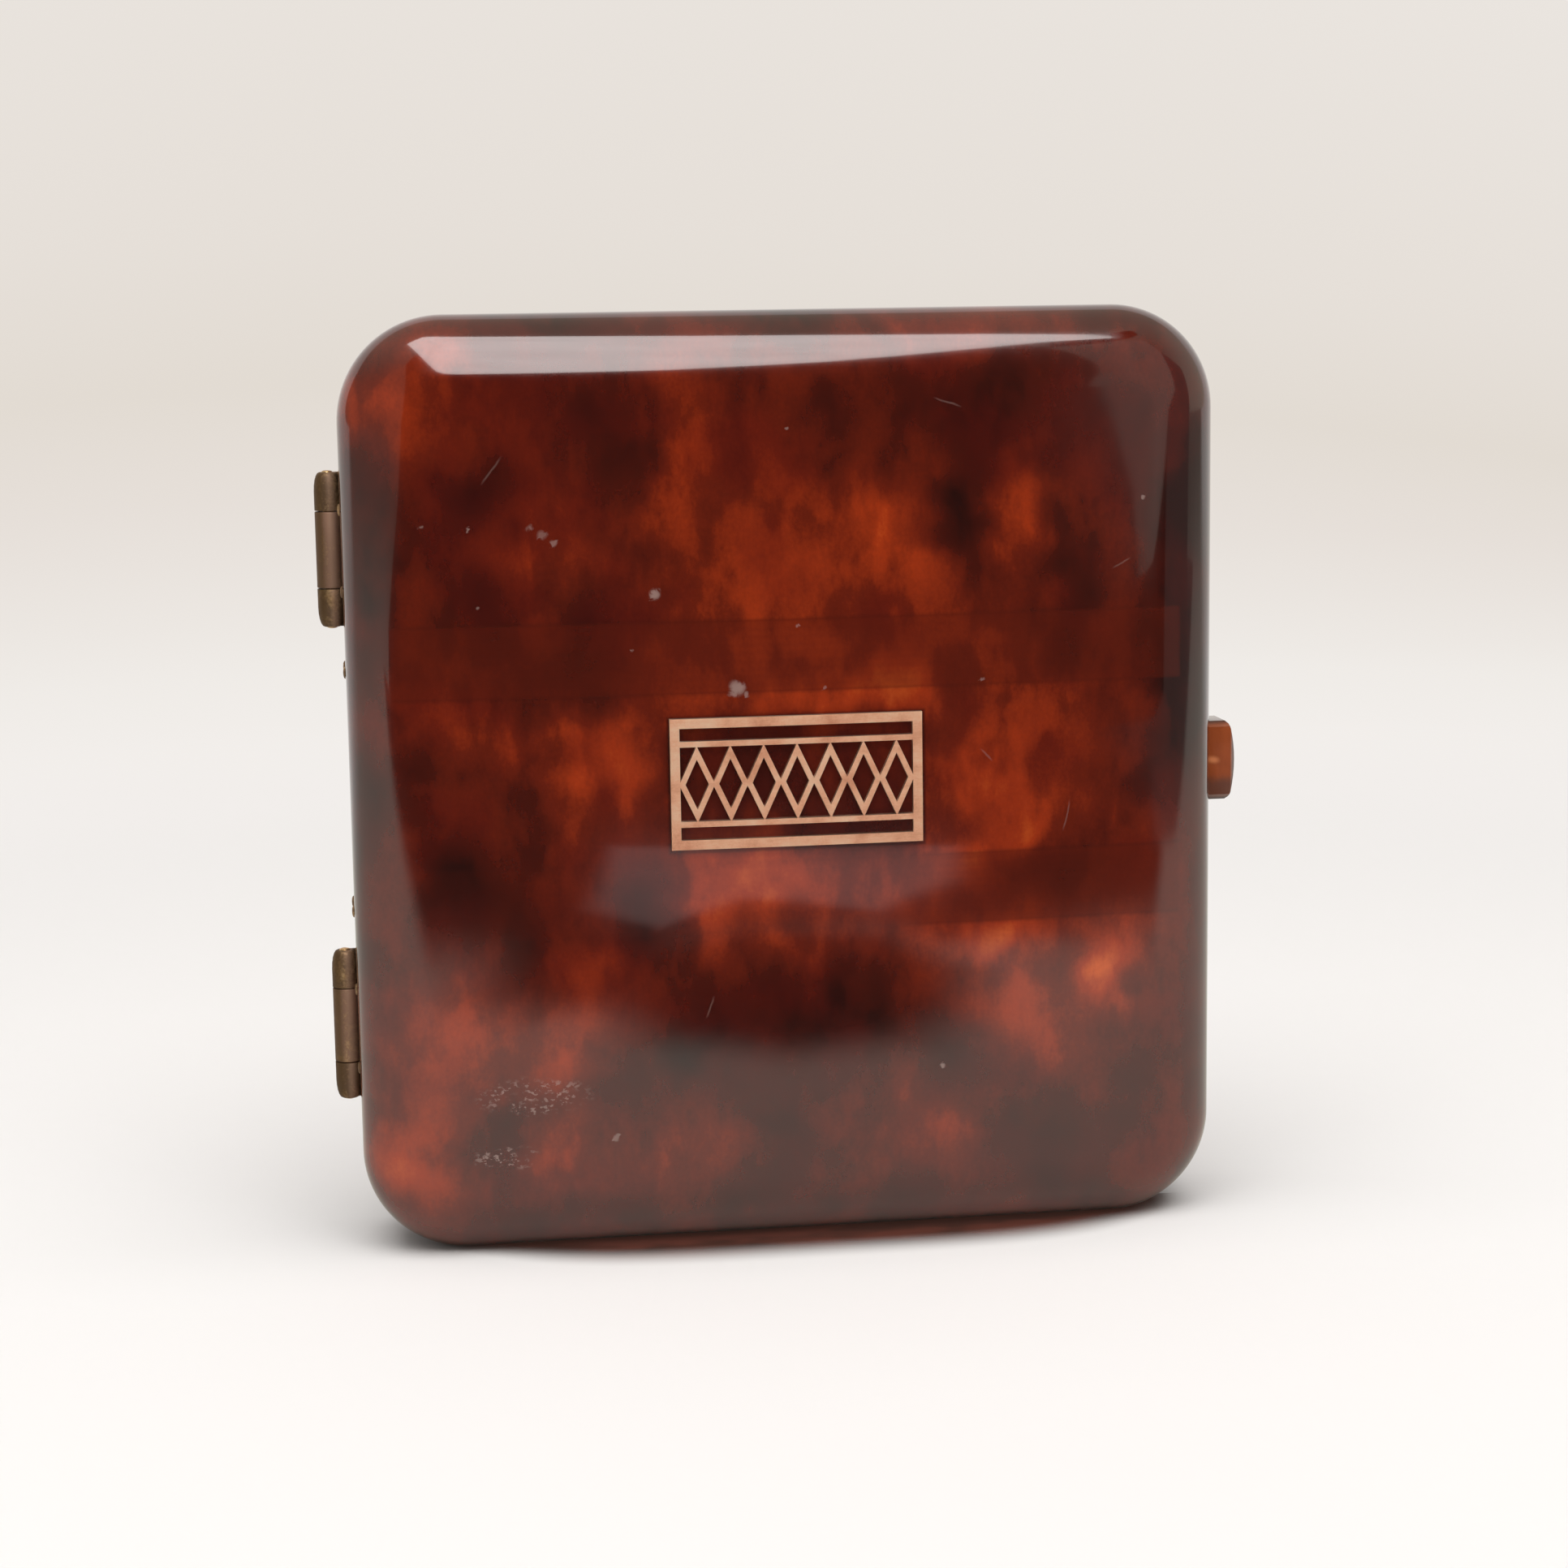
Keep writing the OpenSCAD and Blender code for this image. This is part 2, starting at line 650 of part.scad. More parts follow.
// The keeper has two riveted ears and a ledge between them that the hook holds
module keeper() {
    x = inner_w - seat;
    ear_in = foot_z - foot_len / 2;
    placed() color(brass) difference() {
        union() {
            box([ledge_x, -ledge_y - ledge_t, -catch_h], [x - 0.1, -ledge_y, catch_h]);
            for (side = [-1, 1]) scale([1, 1, side])
                box([x - ear_t, -leg_end, ear_in], [x, ear_reach - rivet_y, catch_h]);
        }
        for (side = [-1, 1]) {
            rivet_hole(-rivet_y, side * foot_z);
            bar_x(rivet_tail_r + 2 * seat, ledge_x - past, x - ear_t, -rivet_y, side * foot_z);
        }
    }
}

module keeper_rivets() {
    placed() color(brass) for (side = [-1, 1])
        flush_rivet(inner_w - ear_t - 2 * seat, -rivet_y, side * foot_z);
}

// Badge

function prong_x() = badge_w / 2 - badge_bar / 2;

// A hollow lozenge, as wide as its share of the row
module lozenge(w, h) {
    slim = fret_bar / cos(atan(w / h));
    wide = fret_bar / sin(atan(w / h));
    difference() {
        polygon([[-w / 2, 0], [0, -h / 2], [w / 2, 0], [0, h / 2]]);
        polygon([[slim - w / 2, 0], [0, wide - h / 2], [w / 2 - slim, 0], [0, h / 2 - wide]]);
    }
}

module badge_sheet() {
    inside_w = badge_w - 2 * badge_bar;
    step = inside_w / fret_count;
    difference() {
        square([badge_w, badge_h], center = true);
        square([inside_w, badge_h - 2 * badge_bar], center = true);
    }
    for (side = [-1, 1]) translate([0, side * (fret_h + fret_bar) / 2])
        square([inside_w + 0.2, fret_bar], center = true);
    for (i = [0:fret_count - 1]) translate([(i + 0.5) * step - inside_w / 2, 0])
        lozenge(step + 0.2, fret_h + 0.2);
}

module badge() {
    placed() color(copper) {
        translate([0, -half_t - seat, badge_up]) rotate([90, 0, 0])
            linear_extrude(badge_t) badge_sheet();
        for (side = [-1, 1])
            translate([side * prong_x(), -half_t - seat - badge_t / 2, badge_up])
                rotate([-90, 0, 0])
                    cylinder(r = prong_r, h = wall_t + badge_t / 2 + 0.4, $fn = round_fn);
    }
}

back_shell();
front_shell();
locating_lip();
upper_hinge_back_leaf();
upper_hinge_front_leaf();
upper_hinge_pin();
lower_hinge_back_leaf();
lower_hinge_front_leaf();
lower_hinge_pin();
hinge_rivets_back();
hinge_rivets_front();
back_upper_strap();
back_lower_strap();
front_upper_strap();
front_lower_strap();
strap_clamps_back();
strap_clamps_front();
strap_rivets_back();
strap_rivets_front();
push_button();
button_plate();
button_pins();
catch_hook();
catch_housing();
catch_spring();
catch_rivets();
keeper();
keeper_rivets();
badge();
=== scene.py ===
"""The finished look of a hinged pocket case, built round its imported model.

The two halves are polished mottled plastic with brass hinges, woven elastic straps,
a spring catch with an amber push button, and a rose gilt badge. Meshes are in metres,
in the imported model's own frame. Places and sizes come from that model's nodes.
"""

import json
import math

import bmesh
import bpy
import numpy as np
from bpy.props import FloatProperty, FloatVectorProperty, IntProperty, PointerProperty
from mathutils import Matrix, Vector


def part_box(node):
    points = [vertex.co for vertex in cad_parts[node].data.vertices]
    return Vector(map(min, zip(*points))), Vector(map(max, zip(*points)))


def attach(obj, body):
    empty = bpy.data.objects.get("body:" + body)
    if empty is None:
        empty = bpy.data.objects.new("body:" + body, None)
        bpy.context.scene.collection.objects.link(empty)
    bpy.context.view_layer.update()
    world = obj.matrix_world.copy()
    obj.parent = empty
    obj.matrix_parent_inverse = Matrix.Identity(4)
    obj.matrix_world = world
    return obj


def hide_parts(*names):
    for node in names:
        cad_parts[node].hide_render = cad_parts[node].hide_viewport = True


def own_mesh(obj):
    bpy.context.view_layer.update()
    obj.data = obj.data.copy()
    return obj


bl_info = {
    "name": "Pocket Case",
    "version": (1, 0, 0),
    "blender": (4, 5, 0),
    "location": "View3D > Sidebar > Pocket Case",
    "description": "Finishes a hinged pocket case in mottled plastic, brass and woven elastic",
    "category": "Add Mesh",
}

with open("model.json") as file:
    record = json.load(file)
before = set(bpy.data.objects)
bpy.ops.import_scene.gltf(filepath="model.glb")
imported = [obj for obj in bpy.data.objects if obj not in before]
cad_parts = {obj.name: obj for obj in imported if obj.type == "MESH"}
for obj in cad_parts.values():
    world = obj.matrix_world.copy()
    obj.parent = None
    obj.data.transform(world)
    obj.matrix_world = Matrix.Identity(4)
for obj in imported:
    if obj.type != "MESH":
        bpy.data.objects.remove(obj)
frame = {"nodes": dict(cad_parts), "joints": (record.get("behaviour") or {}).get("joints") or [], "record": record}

MM = 0.001
# Width of the photograph, and where the case's middle lies in it, in pixels
PHOTO_PX = 1932
CASE_PX = (964.1, 952.3)

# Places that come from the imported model

JOINTS = {joint["name"]: joint for joint in frame["joints"]}
BODY_OF = {
    node: body
    for body, nodes in frame["record"]["behaviour"]["bodies"].items()
    for node in nodes
}
SEAM_Y = JOINTS["lid_hinge"]["pos_m"][1]
HINGE_X = JOINTS["lid_hinge"]["pos_m"][0]


def corners(node):
    """The lowest and highest corner of a node, as arrays in metres."""
    low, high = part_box(node)
    return np.array(low), np.array(high)


BACK_LOW, BACK_HIGH = corners("back_shell")
MIDDLE = np.array([(BACK_LOW[0] + BACK_HIGH[0]) / 2, SEAM_Y, (BACK_LOW[2] + BACK_HIGH[2]) / 2])
HALF_W = (BACK_HIGH[0] - BACK_LOW[0]) / 2
HALF_H = (BACK_HIGH[2] - BACK_LOW[2]) / 2
HALF_T = BACK_HIGH[1] - SEAM_Y
FRONT = -1
BACK = 1
LEFT = -1
RIGHT = 1
# How much larger the cuts round the hinges and the button are than the pieces in them
CUT_CLEAR = 0.12 * MM


# Shader maths

class Wire:
    """An output socket on which Python's operators work; each one adds a Math node."""

    def __init__(self, net, socket):
        self.net = net
        self.socket = socket

    def maths(self, operation, first, second):
        """The result of a Math node on two values."""
        return self.net.node("ShaderNodeMath", {"operation": operation}, {0: first, 1: second})

    def __add__(self, other):
        return self.maths("ADD", self, other)

    def __radd__(self, other):
        return self.maths("ADD", other, self)

    def __sub__(self, other):
        return self.maths("SUBTRACT", self, other)

    def __rsub__(self, other):
        return self.maths("SUBTRACT", other, self)

    def __mul__(self, other):
        return self.maths("MULTIPLY", self, other)

    def __rmul__(self, other):
        return self.maths("MULTIPLY", other, self)

    def __truediv__(self, other):
        return self.maths("DIVIDE", self, other)

    def __pow__(self, other):
        return self.maths("POWER", self, other)


class Net:
    """The node tree of one material or world."""

    def __init__(self, owner):
        owner.use_nodes = True
        self.tree = owner.node_tree
        self.tree.nodes.clear()

    def node(self, kind, settings=None, sockets=None, out=0):
        """Adds a node, sets its settings, then its sockets, and returns one of its outputs."""
        made = self.tree.nodes.new(kind)
        for key, value in (settings or {}).items():
            if key == "stops":
                self.set_stops(made.color_ramp.elements, value)
            else:
                setattr(made, key, value)
        for key, value in (sockets or {}).items():
            if isinstance(value, Wire):
                self.tree.links.new(value.socket, made.inputs[key])
            else:
                made.inputs[key].default_value = value
        return Wire(self, made.outputs[out]) if made.outputs else None

    @staticmethod
    def set_stops(elements, stops):
        """Sets the places and colours of a ramp that starts with two stops."""
        elements[0].position = stops[0][0]
        elements[1].position = stops[-1][0]
        for place, _ in stops[1:-1]:
            elements.new(place)
        for element, (_, colour) in zip(elements, stops):
            element.color = (*colour, 1.0)

    def place(self, scale=(1.0, 1.0, 1.0), moved=(0.0, 0.0, 0.0)):
        """Object coordinates about the closed case's middle, in millimetres, then scaled."""
        co = self.node("ShaderNodeTexCoord", out="Object")
        co = self.node("ShaderNodeVectorMath", {"operation": "SUBTRACT"}, {0: co, 1: tuple(MIDDLE)})
        stretch = tuple(s / MM for s in scale)
        co = self.node("ShaderNodeVectorMath", {"operation": "MULTIPLY"}, {0: co, 1: stretch})
        return self.node("ShaderNodeVectorMath", {"operation": "ADD"}, {0: co, 1: moved})

    def xyz(self, vector):
        """The three parts of a vector."""
        made = self.tree.nodes.new("ShaderNodeSeparateXYZ")
        self.tree.links.new(vector.socket, made.inputs[0])
        return [Wire(self, made.outputs[i]) for i in range(3)]

    def noise(self, vector, scale, detail=2.0, roughness=0.5, distortion=0.0):
        """Noise about zero, roughly from -0.5 to 0.5."""
        sockets = {"Vector": vector, "Scale": scale, "Detail": detail,
                   "Roughness": roughness, "Distortion": distortion}
        return self.node("ShaderNodeTexNoise", None, sockets) - 0.5

    def step(self, value, low, high):
        """A smooth step from 0 at low to 1 at high, or down from 1 where low is the larger."""
        swap = low > high
        sockets = {"Value": value, "From Min": min(low, high), "From Max": max(low, high),
                   "To Min": float(swap), "To Max": float(not swap)}
        return self.node("ShaderNodeMapRange", {"interpolation_type": "SMOOTHSTEP"}, sockets)

    def size(self, value):
        """The value without its sign."""
        return self.node("ShaderNodeMath", {"operation": "ABSOLUTE"}, {0: value})

    def wave(self, value):
        """The sine of a value in radians."""
        return self.node("ShaderNodeMath", {"operation": "SINE"}, {0: value})

    def larger(self, first, second):
        """The larger of two values."""
        return self.node("ShaderNodeMath", {"operation": "MAXIMUM"}, {0: first, 1: second})

    def attribute(self, name):
        """A number that the mesh stores at each point."""
        return self.node("ShaderNodeAttribute", {"attribute_name": name}, out="Fac")

    def mix(self, share, first, second):
        """A colour between two colours."""
        return self.node("ShaderNodeMix", {"data_type": "RGBA"}, {
            "Factor": share, 6: wide(first), 7: wide(second)}, out=2)

    def ramp(self, value, stops):
        """A colour from stops, each of them a place from 0 to 1 and its colour."""
        return self.node("ShaderNodeValToRGB", {"stops": stops}, {"Fac": value})

    def bump(self, height, depth, strength=1.0):
        """A normal bent by a height from 0 to 1, for a depth in metres."""
        return self.node("ShaderNodeBump", None, {
            "Height": height, "Distance": depth, "Strength": strength})

    def spot(self, x, z, place, radius, soft=0.5):
        """1 inside a round spot on the face, falling to 0 at its radius, in millimetres."""
        dx, dz = x - place[0], z - place[1]
        return self.step((dx * dx + dz * dz) ** 0.5, radius, radius * (1 - soft))

    def surface(self, **sockets):
        """Gives the material a Principled shader, with underscores for spaces in socket names."""
        values = {key.replace("_", " "): value for key, value in sockets.items()}
        shader = self.node("ShaderNodeBsdfPrincipled", None, values, out="BSDF")
        self.node("ShaderNodeOutputMaterial", None, {"Surface": shader})


def wide(colour):
    """A colour with its alpha, or the wire that carries one."""
    return colour if isinstance(colour, Wire) else (*tuple(colour)[:3], 1.0)


def material(name):
    """A new material and its net."""
    made = bpy.data.materials.new(name)
    return made, Net(made)


# Mesh tools

def new_object(name, data):
    """An object in the scene from a mesh, a light or a camera."""
    made = bpy.data.objects.new(name, data)
    bpy.context.scene.collection.objects.link(made)
    return made


def points_of(mesh):
    """The places of a mesh's points, one row for each."""
    co = np.empty(len(mesh.vertices) * 3)
    mesh.vertices.foreach_get("co", co)
    return co.reshape(-1, 3)


def store(mesh, name, values):
    """Stores a number at each point of a mesh, as an attribute that its material reads."""
    layer = mesh.attributes.new(name, "FLOAT", "POINT")
    layer.data.foreach_set("value", np.asarray(values, np.float32).ravel())


def grid_faces(rows, columns, close_rows=False, close_columns=False):
    """The four corners of each face between neighbouring points of a grid."""
    r = np.arange(rows if close_rows else rows - 1)
    c = np.arange(columns if close_columns else columns - 1)
    r, c = np.meshgrid(r, c, indexing="ij")
    r_next, c_next = (r + 1) % rows, (c + 1) % columns
    quads = [r * columns + c, r * columns + c_next, r_next * columns + c_next, r_next * columns + c]
    return np.stack(quads, -1).reshape(-1, 4)


def fan_faces(ring_start, count, tip):
    """Triangles from a closed ring to one point."""
    i = np.arange(count)
    return np.stack([ring_start + i, ring_start + (i + 1) % count, np.full(count, tip)], -1)


def mesh_piece(name, points, face_lists):
    """An object at the origin from points and lists of faces, with its faces turned outwards."""
    mesh = bpy.data.meshes.new(name)
    faces = [face for one in face_lists for face in np.asarray(one).tolist()]
    mesh.from_pydata(np.asarray(points).reshape(-1, 3).tolist(), [], faces)
    made = new_object(name, mesh)
    outwards(mesh)
    return made


def outwards(mesh, merge=0.0):
    """Merges doubles if asked to, and turns a closed mesh's faces outwards."""
    bm = bmesh.new()
    bm.from_mesh(mesh)
    if merge:
        bmesh.ops.remove_doubles(bm, verts=bm.verts, dist=merge)
    bmesh.ops.recalc_face_normals(bm, faces=bm.faces)
    bm.to_mesh(mesh)
    bm.free()


def settle(piece):
    """Puts the result of a piece's modifiers into its mesh."""
    graph = bpy.context.evaluated_depsgraph_get()
    done = bpy.data.meshes.new_from_object(piece.evaluated_get(graph))
    piece.modifiers.clear()
    piece.data = done
    return piece


def shade(piece, degrees=35.0):
    """Smooth shading, kept sharp where faces meet at more than an angle."""
    piece.data.shade_smooth()
    piece.data.set_sharp_from_angle(angle=math.radians(degrees))
    return piece


def soften(piece, width, rings=2, degrees=40.0):
    """Rounds the sharp edges of a piece."""
    bevel = piece.modifiers.new("soft edges", "BEVEL")
    bevel.width = width
    bevel.segments = rings
    bevel.limit_method = "ANGLE"
    bevel.angle_limit = math.radians(degrees)
    return settle(piece)


def cut_away(piece, cutter):
    """Takes a cutter's volume out of a piece."""
    cut = piece.modifiers.new("cut", "BOOLEAN")
    cut.operation = "DIFFERENCE"
    cut.solver = "EXACT"
    cut.object = cutter
    settle(piece)
    bpy.data.objects.remove(cutter)


def rod(radius, low, high, sides=40):
    """Points and faces of a closed rod along X between two places with the same y and z."""
    turn = np.linspace(0, 2 * np.pi, sides, endpoint=False)
    ring = np.stack([0 * turn, radius * np.cos(turn), radius * np.sin(turn)], -1)
    points = np.concatenate([ring + low, ring + high, [low, high]])
    return points, [grid_faces(2, sides, close_columns=True),
                    fan_faces(0, sides, 2 * sides), fan_faces(sides, sides, 2 * sides + 1)]


def block(low, high):
    """Points and faces of a block between two corners."""
    x, y, z = np.meshgrid(*zip(low, high), indexing="ij")
    points = np.stack([x, y, z], -1).reshape(-1, 3)
    faces = [[0, 1, 3, 2], [4, 6, 7, 5], [0, 4, 5, 1], [2, 3, 7, 6], [0, 2, 6, 4], [1, 5, 7, 3]]
    return points, [faces]


def gather(name, shapes):
    """One object from several closed shapes."""
    points, faces, start = [], [], 0
    for shape_points, shape_faces in shapes:
        points.append(shape_points)
        faces += [np.asarray(one) + start if np.asarray(one).ndim == 2 else one
                  for one in shape_faces]
        start += len(shape_points)
    return mesh_piece(name, np.concatenate(points), faces)


def node_copy(node, name):
    """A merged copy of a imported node's mesh, as a new object at the origin."""
    made = new_object(name, frame["nodes"][node].data.copy())
    outwards(made.data, merge=0.002 * MM)
    return made


def fit_out(piece, look, slot, *nodes):
    """Gives a piece its material and its body, and hides the nodes that it stands for. The slot is not used."""
    piece.data.materials.clear()
    piece.data.materials.append(look)
    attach(piece, BODY_OF[nodes[0]])
    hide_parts(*nodes)
    return piece


def finished_copy(node, name, look, slot, width, rings=2, degrees=40.0):
    """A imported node's own shape with rounded edges and a finished surface."""
    piece = soften(node_copy(node, name), width, rings, degrees)
    return fit_out(shade(piece), look, slot, node)


# Settings

class PocketCaseShape(bpy.types.PropertyGroup):
    """Sizes of the moulded halves and of the fine edges."""

    corner: FloatProperty(
        name="Corner radius", description="Radius of the outline's four corners",
        default=9.3 * MM, unit="LENGTH")
    wall: FloatProperty(
        name="Wall", description="Thickness of the two shells", default=1.8 * MM, unit="LENGTH")
    band: FloatProperty(
        name="Side band", description="Flat band from the seam to the rolled edge",
        default=3.0 * MM, unit="LENGTH")
    roll: FloatProperty(
        name="Roll", description="How far in from the side the rolled edge runs",
        default=6.5 * MM, unit="LENGTH")
    dome: FloatProperty(
        name="Dome", description="How much the face domes above the rolled edge",
        default=1.6 * MM, unit="LENGTH")
    gap: FloatProperty(
        name="Half gap", description="Half the gap between the two rims",
        default=0.04 * MM, unit="LENGTH")
    rim_round: FloatProperty(
        name="Rim rounding", description="Radius of the fine rounding along the rims",
        default=0.16 * MM, unit="LENGTH")
    ripple: FloatProperty(
        name="Ripple", description="Depth of the faint waves that polishing leaves",
        default=0.035 * MM, unit="LENGTH")
    strap_ribs: IntProperty(
        name="Strap ribs", description="Number of ribs across an elastic strap", default=13)


class PocketCaseFinish(bpy.types.PropertyGroup):
    """Colours of the finishes."""

    def tint(name, text, value):
        return FloatVectorProperty(
            name=name, description=text, subtype="COLOR", size=3, default=value, min=0.0, max=1.0)

    mahogany: tint("Mahogany", "Darkest clouds of the plastic", (0.022, 0.0042, 0.0030))
    garnet: tint("Garnet", "Dark red between the clouds", (0.068, 0.0072, 0.0034))
    russet: tint("Russet", "Red brown of the middle tones", (0.140, 0.0135, 0.0040))
    ember: tint("Ember", "Orange red of the bright clouds", (0.36, 0.036, 0.0060))
    flame: tint("Flame", "Brightest streaks in the bright clouds", (0.62, 0.100, 0.014))
    amber: tint("Amber", "Orange brown of the push button", (0.31, 0.067, 0.018))
    brass: tint("Brass", "Clean brass", (0.66, 0.46, 0.25))
    tarnish: tint("Tarnish", "Brown tarnish on the brass", (0.165, 0.092, 0.046))
    elastic: tint("Elastic", "Brown of the elastic straps", (0.135, 0.062, 0.034))
    gilt: tint("Rose gilt", "Metal of the badge", (0.94, 0.50, 0.31))
    steel: tint("Steel", "Blued spring steel", (0.30, 0.31, 0.33))


class PocketCaseStudio(bpy.types.PropertyGroup):
    """The camera, the light and the pale sweep behind the case."""

    lens: FloatProperty(
        name="Lens", description="Focal length on a 36 mm wide sensor, in millimetres", default=69.5)
    distance: FloatProperty(
        name="Distance", description="From the camera to the case's middle",
        default=0.2756, unit="LENGTH")
    azimuth: FloatProperty(
        name="Azimuth", description="How far the camera stands round to the hinges",
        default=math.radians(8.0), subtype="ANGLE")
    elevation: FloatProperty(
        name="Elevation", description="How far the camera looks down",
        default=math.radians(8.74), subtype="ANGLE")
    roll: FloatProperty(
        name="Roll", description="Tilt of the camera about its own line of sight",
        default=math.radians(-0.875), subtype="ANGLE")
    lamp: FloatProperty(
        name="Lamp", description="Power of the large soft lamp, in watts", default=6.3)
    ambient: FloatProperty(
        name="Ambient", description="Strength of the even light from all round", default=0.34)
    surround: FloatProperty(
        name="Surround", description="Brightness of the pale room as the camera sees it", default=0.83)
    mirrored: FloatProperty(
        name="Mirrored room", description="Brightness of the room in reflections", default=0.21)
    mirrored_floor: FloatProperty(
        name="Mirrored floor", description="Share of the floor's brightness in reflections", default=0.71)
    softbox: FloatProperty(
        name="Softbox", description="Brightness of the lamp's front as it is mirrored", default=5.3)
    floor: FloatVectorProperty(
        name="Floor", description="Colour of the floor and the sweep", subtype="COLOR", size=3,
        default=(0.885, 0.882, 0.882), min=0.0, max=1.0)


# Finishes

# Soft clouds on the front, as x, z, width, height and strength, in millimetres from its middle
BRIGHT_CLOUDS = (
    (-9.5, 29.5, 2.6, 5, 0.7), (4, 22.5, 6, 4.5, 0.52), (9.5, 21.5, 2.8, 4.5, 0.8),
    (-22, 21.5, 4, 4.5, 0.6), (-29.5, 31, 4, 5, 0.2), (-6, 25, 5, 5, 0.22),
    (20, 24.5, 2.5, 6, 0.45), (-6, 17.5, 6, 3, 0.22), (-15.6, 2.1, 3.9, 3.2, 1.35),
    (17, 0.3, 3.4, 5, 1.1), (25.8, 3, 4, 4, 0.7), (-1.4, 7.8, 4, 2.2, 0.9), (8.5, 8, 4, 2.2, 1.25),
    (-3.5, -8.4, 7, 3.6, 1.45), (13, -9.6, 4, 3, 0.9), (18.2, -14, 4.4, 2.4, 0.9),
    (28.3, -16.8, 2.8, 5, 1.5), (20, -20, 3.5, 4, 0.7), (-18.5, -16, 3.2, 3.6, 0.35),
    (-29.5, -22.5, 5, 5.5, 0.75), (-20.5, -24.8, 3.2, 3.2, 0.9), (-34.5, -34, 4.5, 4, 1.1),
    (-20.7, -32, 3, 3.6, 0.8), (13.5, -31.5, 5, 3.2, 0.6), (24, -26, 4.5, 4.5, 0.6),
    (-10, -35, 6, 3, 0.35), (0, 13, 12, 5, 0.5), (-33, 33, 4, 5, 0.15),
    (20, 12, 5, 4, 0.3), (-30, 38, 4, 2, 0.35), (-24, 5.2, 9, 1.5, 0.5), (17, -14.2, 6, 1.6, 0.4),
    (12, 39, 4, 2, 0.6), (23, 39, 3, 2, 0.8), (-35, 33, 2.2, 5, 0.6), (-14, -4.5, 7, 2.5, 0.45),
    (23.5, -2.5, 4.5, 3, 0.55), (20, -6, 5, 2.3, 1.3), (9, -18.5, 3.5, 3.5, 0.9),
    (22, 21.5, 2.4, 2.6, 0.8), (0, -16.5, 6, 4, 0.35), (-5, -12, 3, 3, 0.5), (13, 24, 1.8, 4, 0.4),
)
DARK_CLOUDS = (
    (-14, 31.5, 4.5, 5, -0.9), (5, 32, 6, 4.5, -0.62), (19, 32, 8, 4.5, -1.0),
    (16.2, 24.8, 2.4, 5.2, -1.1), (26, 16.5, 3, 6, -1.2), (-25.5, 26, 3.5, 3, -0.6),
    (-33, 24, 3, 5, -0.7), (-27, 17, 4.5, 5, -0.7), (-17.5, 11.6, 4, 3.4, -1.1),
    (-28, -8.6, 4.5, 4.5, -1.4), (-33, 0.5, 2.6, 3.5, -0.6), (-12.8, -10.8, 3, 4.4, -1.2),
    (-5, -21, 7, 4, -0.8), (6, -21, 6, 5, -1.0), (15, -23.5, 4, 3.4, -0.8),
    (24, -8.5, 6.5, 3.5, -0.9), (0, -32, 4.5, 4.5, -0.9), (-25.5, -31, 4, 3.4, -0.8),
    (-15.5, -28.5, 3, 3, -0.6), (22, -33, 5, 4.5, -0.9), (37, 9, 4.5, 13, -1.7),
    (-22, -39.5, 7, 2.5, -0.7), (2, -39.5, 14, 2.5, -0.6), (23, -39, 8, 2.5, -0.6),
    (-24, -3, 3, 4, -0.2), (5, -19, 8, 4, -0.5), (33, -30, 4, 6, -0.5), (-22, -12, 4, 3, -0.6),
    (30, 32, 5, 6, -0.7), (-20, 39, 5, 2, -0.6), (2, 40, 6, 2, -0.6), (-36.5, 15, 2.5, 9, -0.9),
    (-25, 27, 4, 4, -0.5), (-37, -10, 2, 9, -0.5), (39, 26, 4, 8, -1.2),
    (-15.5, 22, 2.4, 3, -0.35), (-24, 1.2, 4.5, 2.6, -0.35), (-0.3, -9.8, 2, 2.6, -0.85),
    (-9.2, -25, 4.5, 3.5, -0.8), (-29.3, 3.4, 2.6, 3, -0.35),
)
FRONT_CLOUDS = BRIGHT_CLOUDS + DARK_CLOUDS
BACK_CLOUD_COUNT = 44
BACK_CLOUD_SEED = 11
# Small pale chips on the front, as x, z, radius and how pale they are
CHIPS = ((-12.2, 17.4, 0.62, 1.0), (-5.2, 9.0, 0.95, 1.0), (13.0, -26.0, 0.36, 1.0),
         (-21.8, 22.8, 0.55, 0.45), (-22.8, 23.4, 0.36, 0.4), (-20.9, 22.0, 0.42, 0.6),
         (16.8, 9.1, 0.25, 0.5), (31.6, 24.8, 0.3, 0.8), (-16.6, -31.2, 0.42, 0.8),
         (-4.4, 8.4, 0.4, 0.7), (-28.2, 23.3, 0.26, 0.8), (-32.2, 23.6, 0.2, 0.5),
         (-14.3, 12.6, 0.2, 0.5), (-0.3, 31.5, 0.2, 0.6), (0.4, 14.4, 0.24, 0.5),
         (2.6, 8.8, 0.2, 0.5), (-27.5, 16.6, 0.18, 0.6))
# Rubbed places on the front, as x, z, width and height
RUBS = ((-23.6, -26.9, 5.8, 1.9), (-26.4, -32.4, 3.4, 1.1))
# Hairline scratches on the front, as x and z of the middle, angle and length
SCRATCHES = ((-26.0, 28.4, 52, 3.4), (29.6, 19.0, 30, 2.2), (14.0, 33.5, -20, 3.0),
             (-8.0, -19.5, 68, 2.4), (24.5, -3.5, 78, 3.2), (17.1, 2.3, -45, 1.8))
# The straps show through the shells over this height as a painted shadow. The upper and the
# lower one each have a share at left and one at right, by which they hide the clouds.
SHOWN_STRAP = 6.4 * MM
STRAP_SHARES = ((0.55, 0.5), (0.15, 0.62))
# Looking down from the front, the straps show this much higher on the face
STRAP_RISE = 1.1 * MM


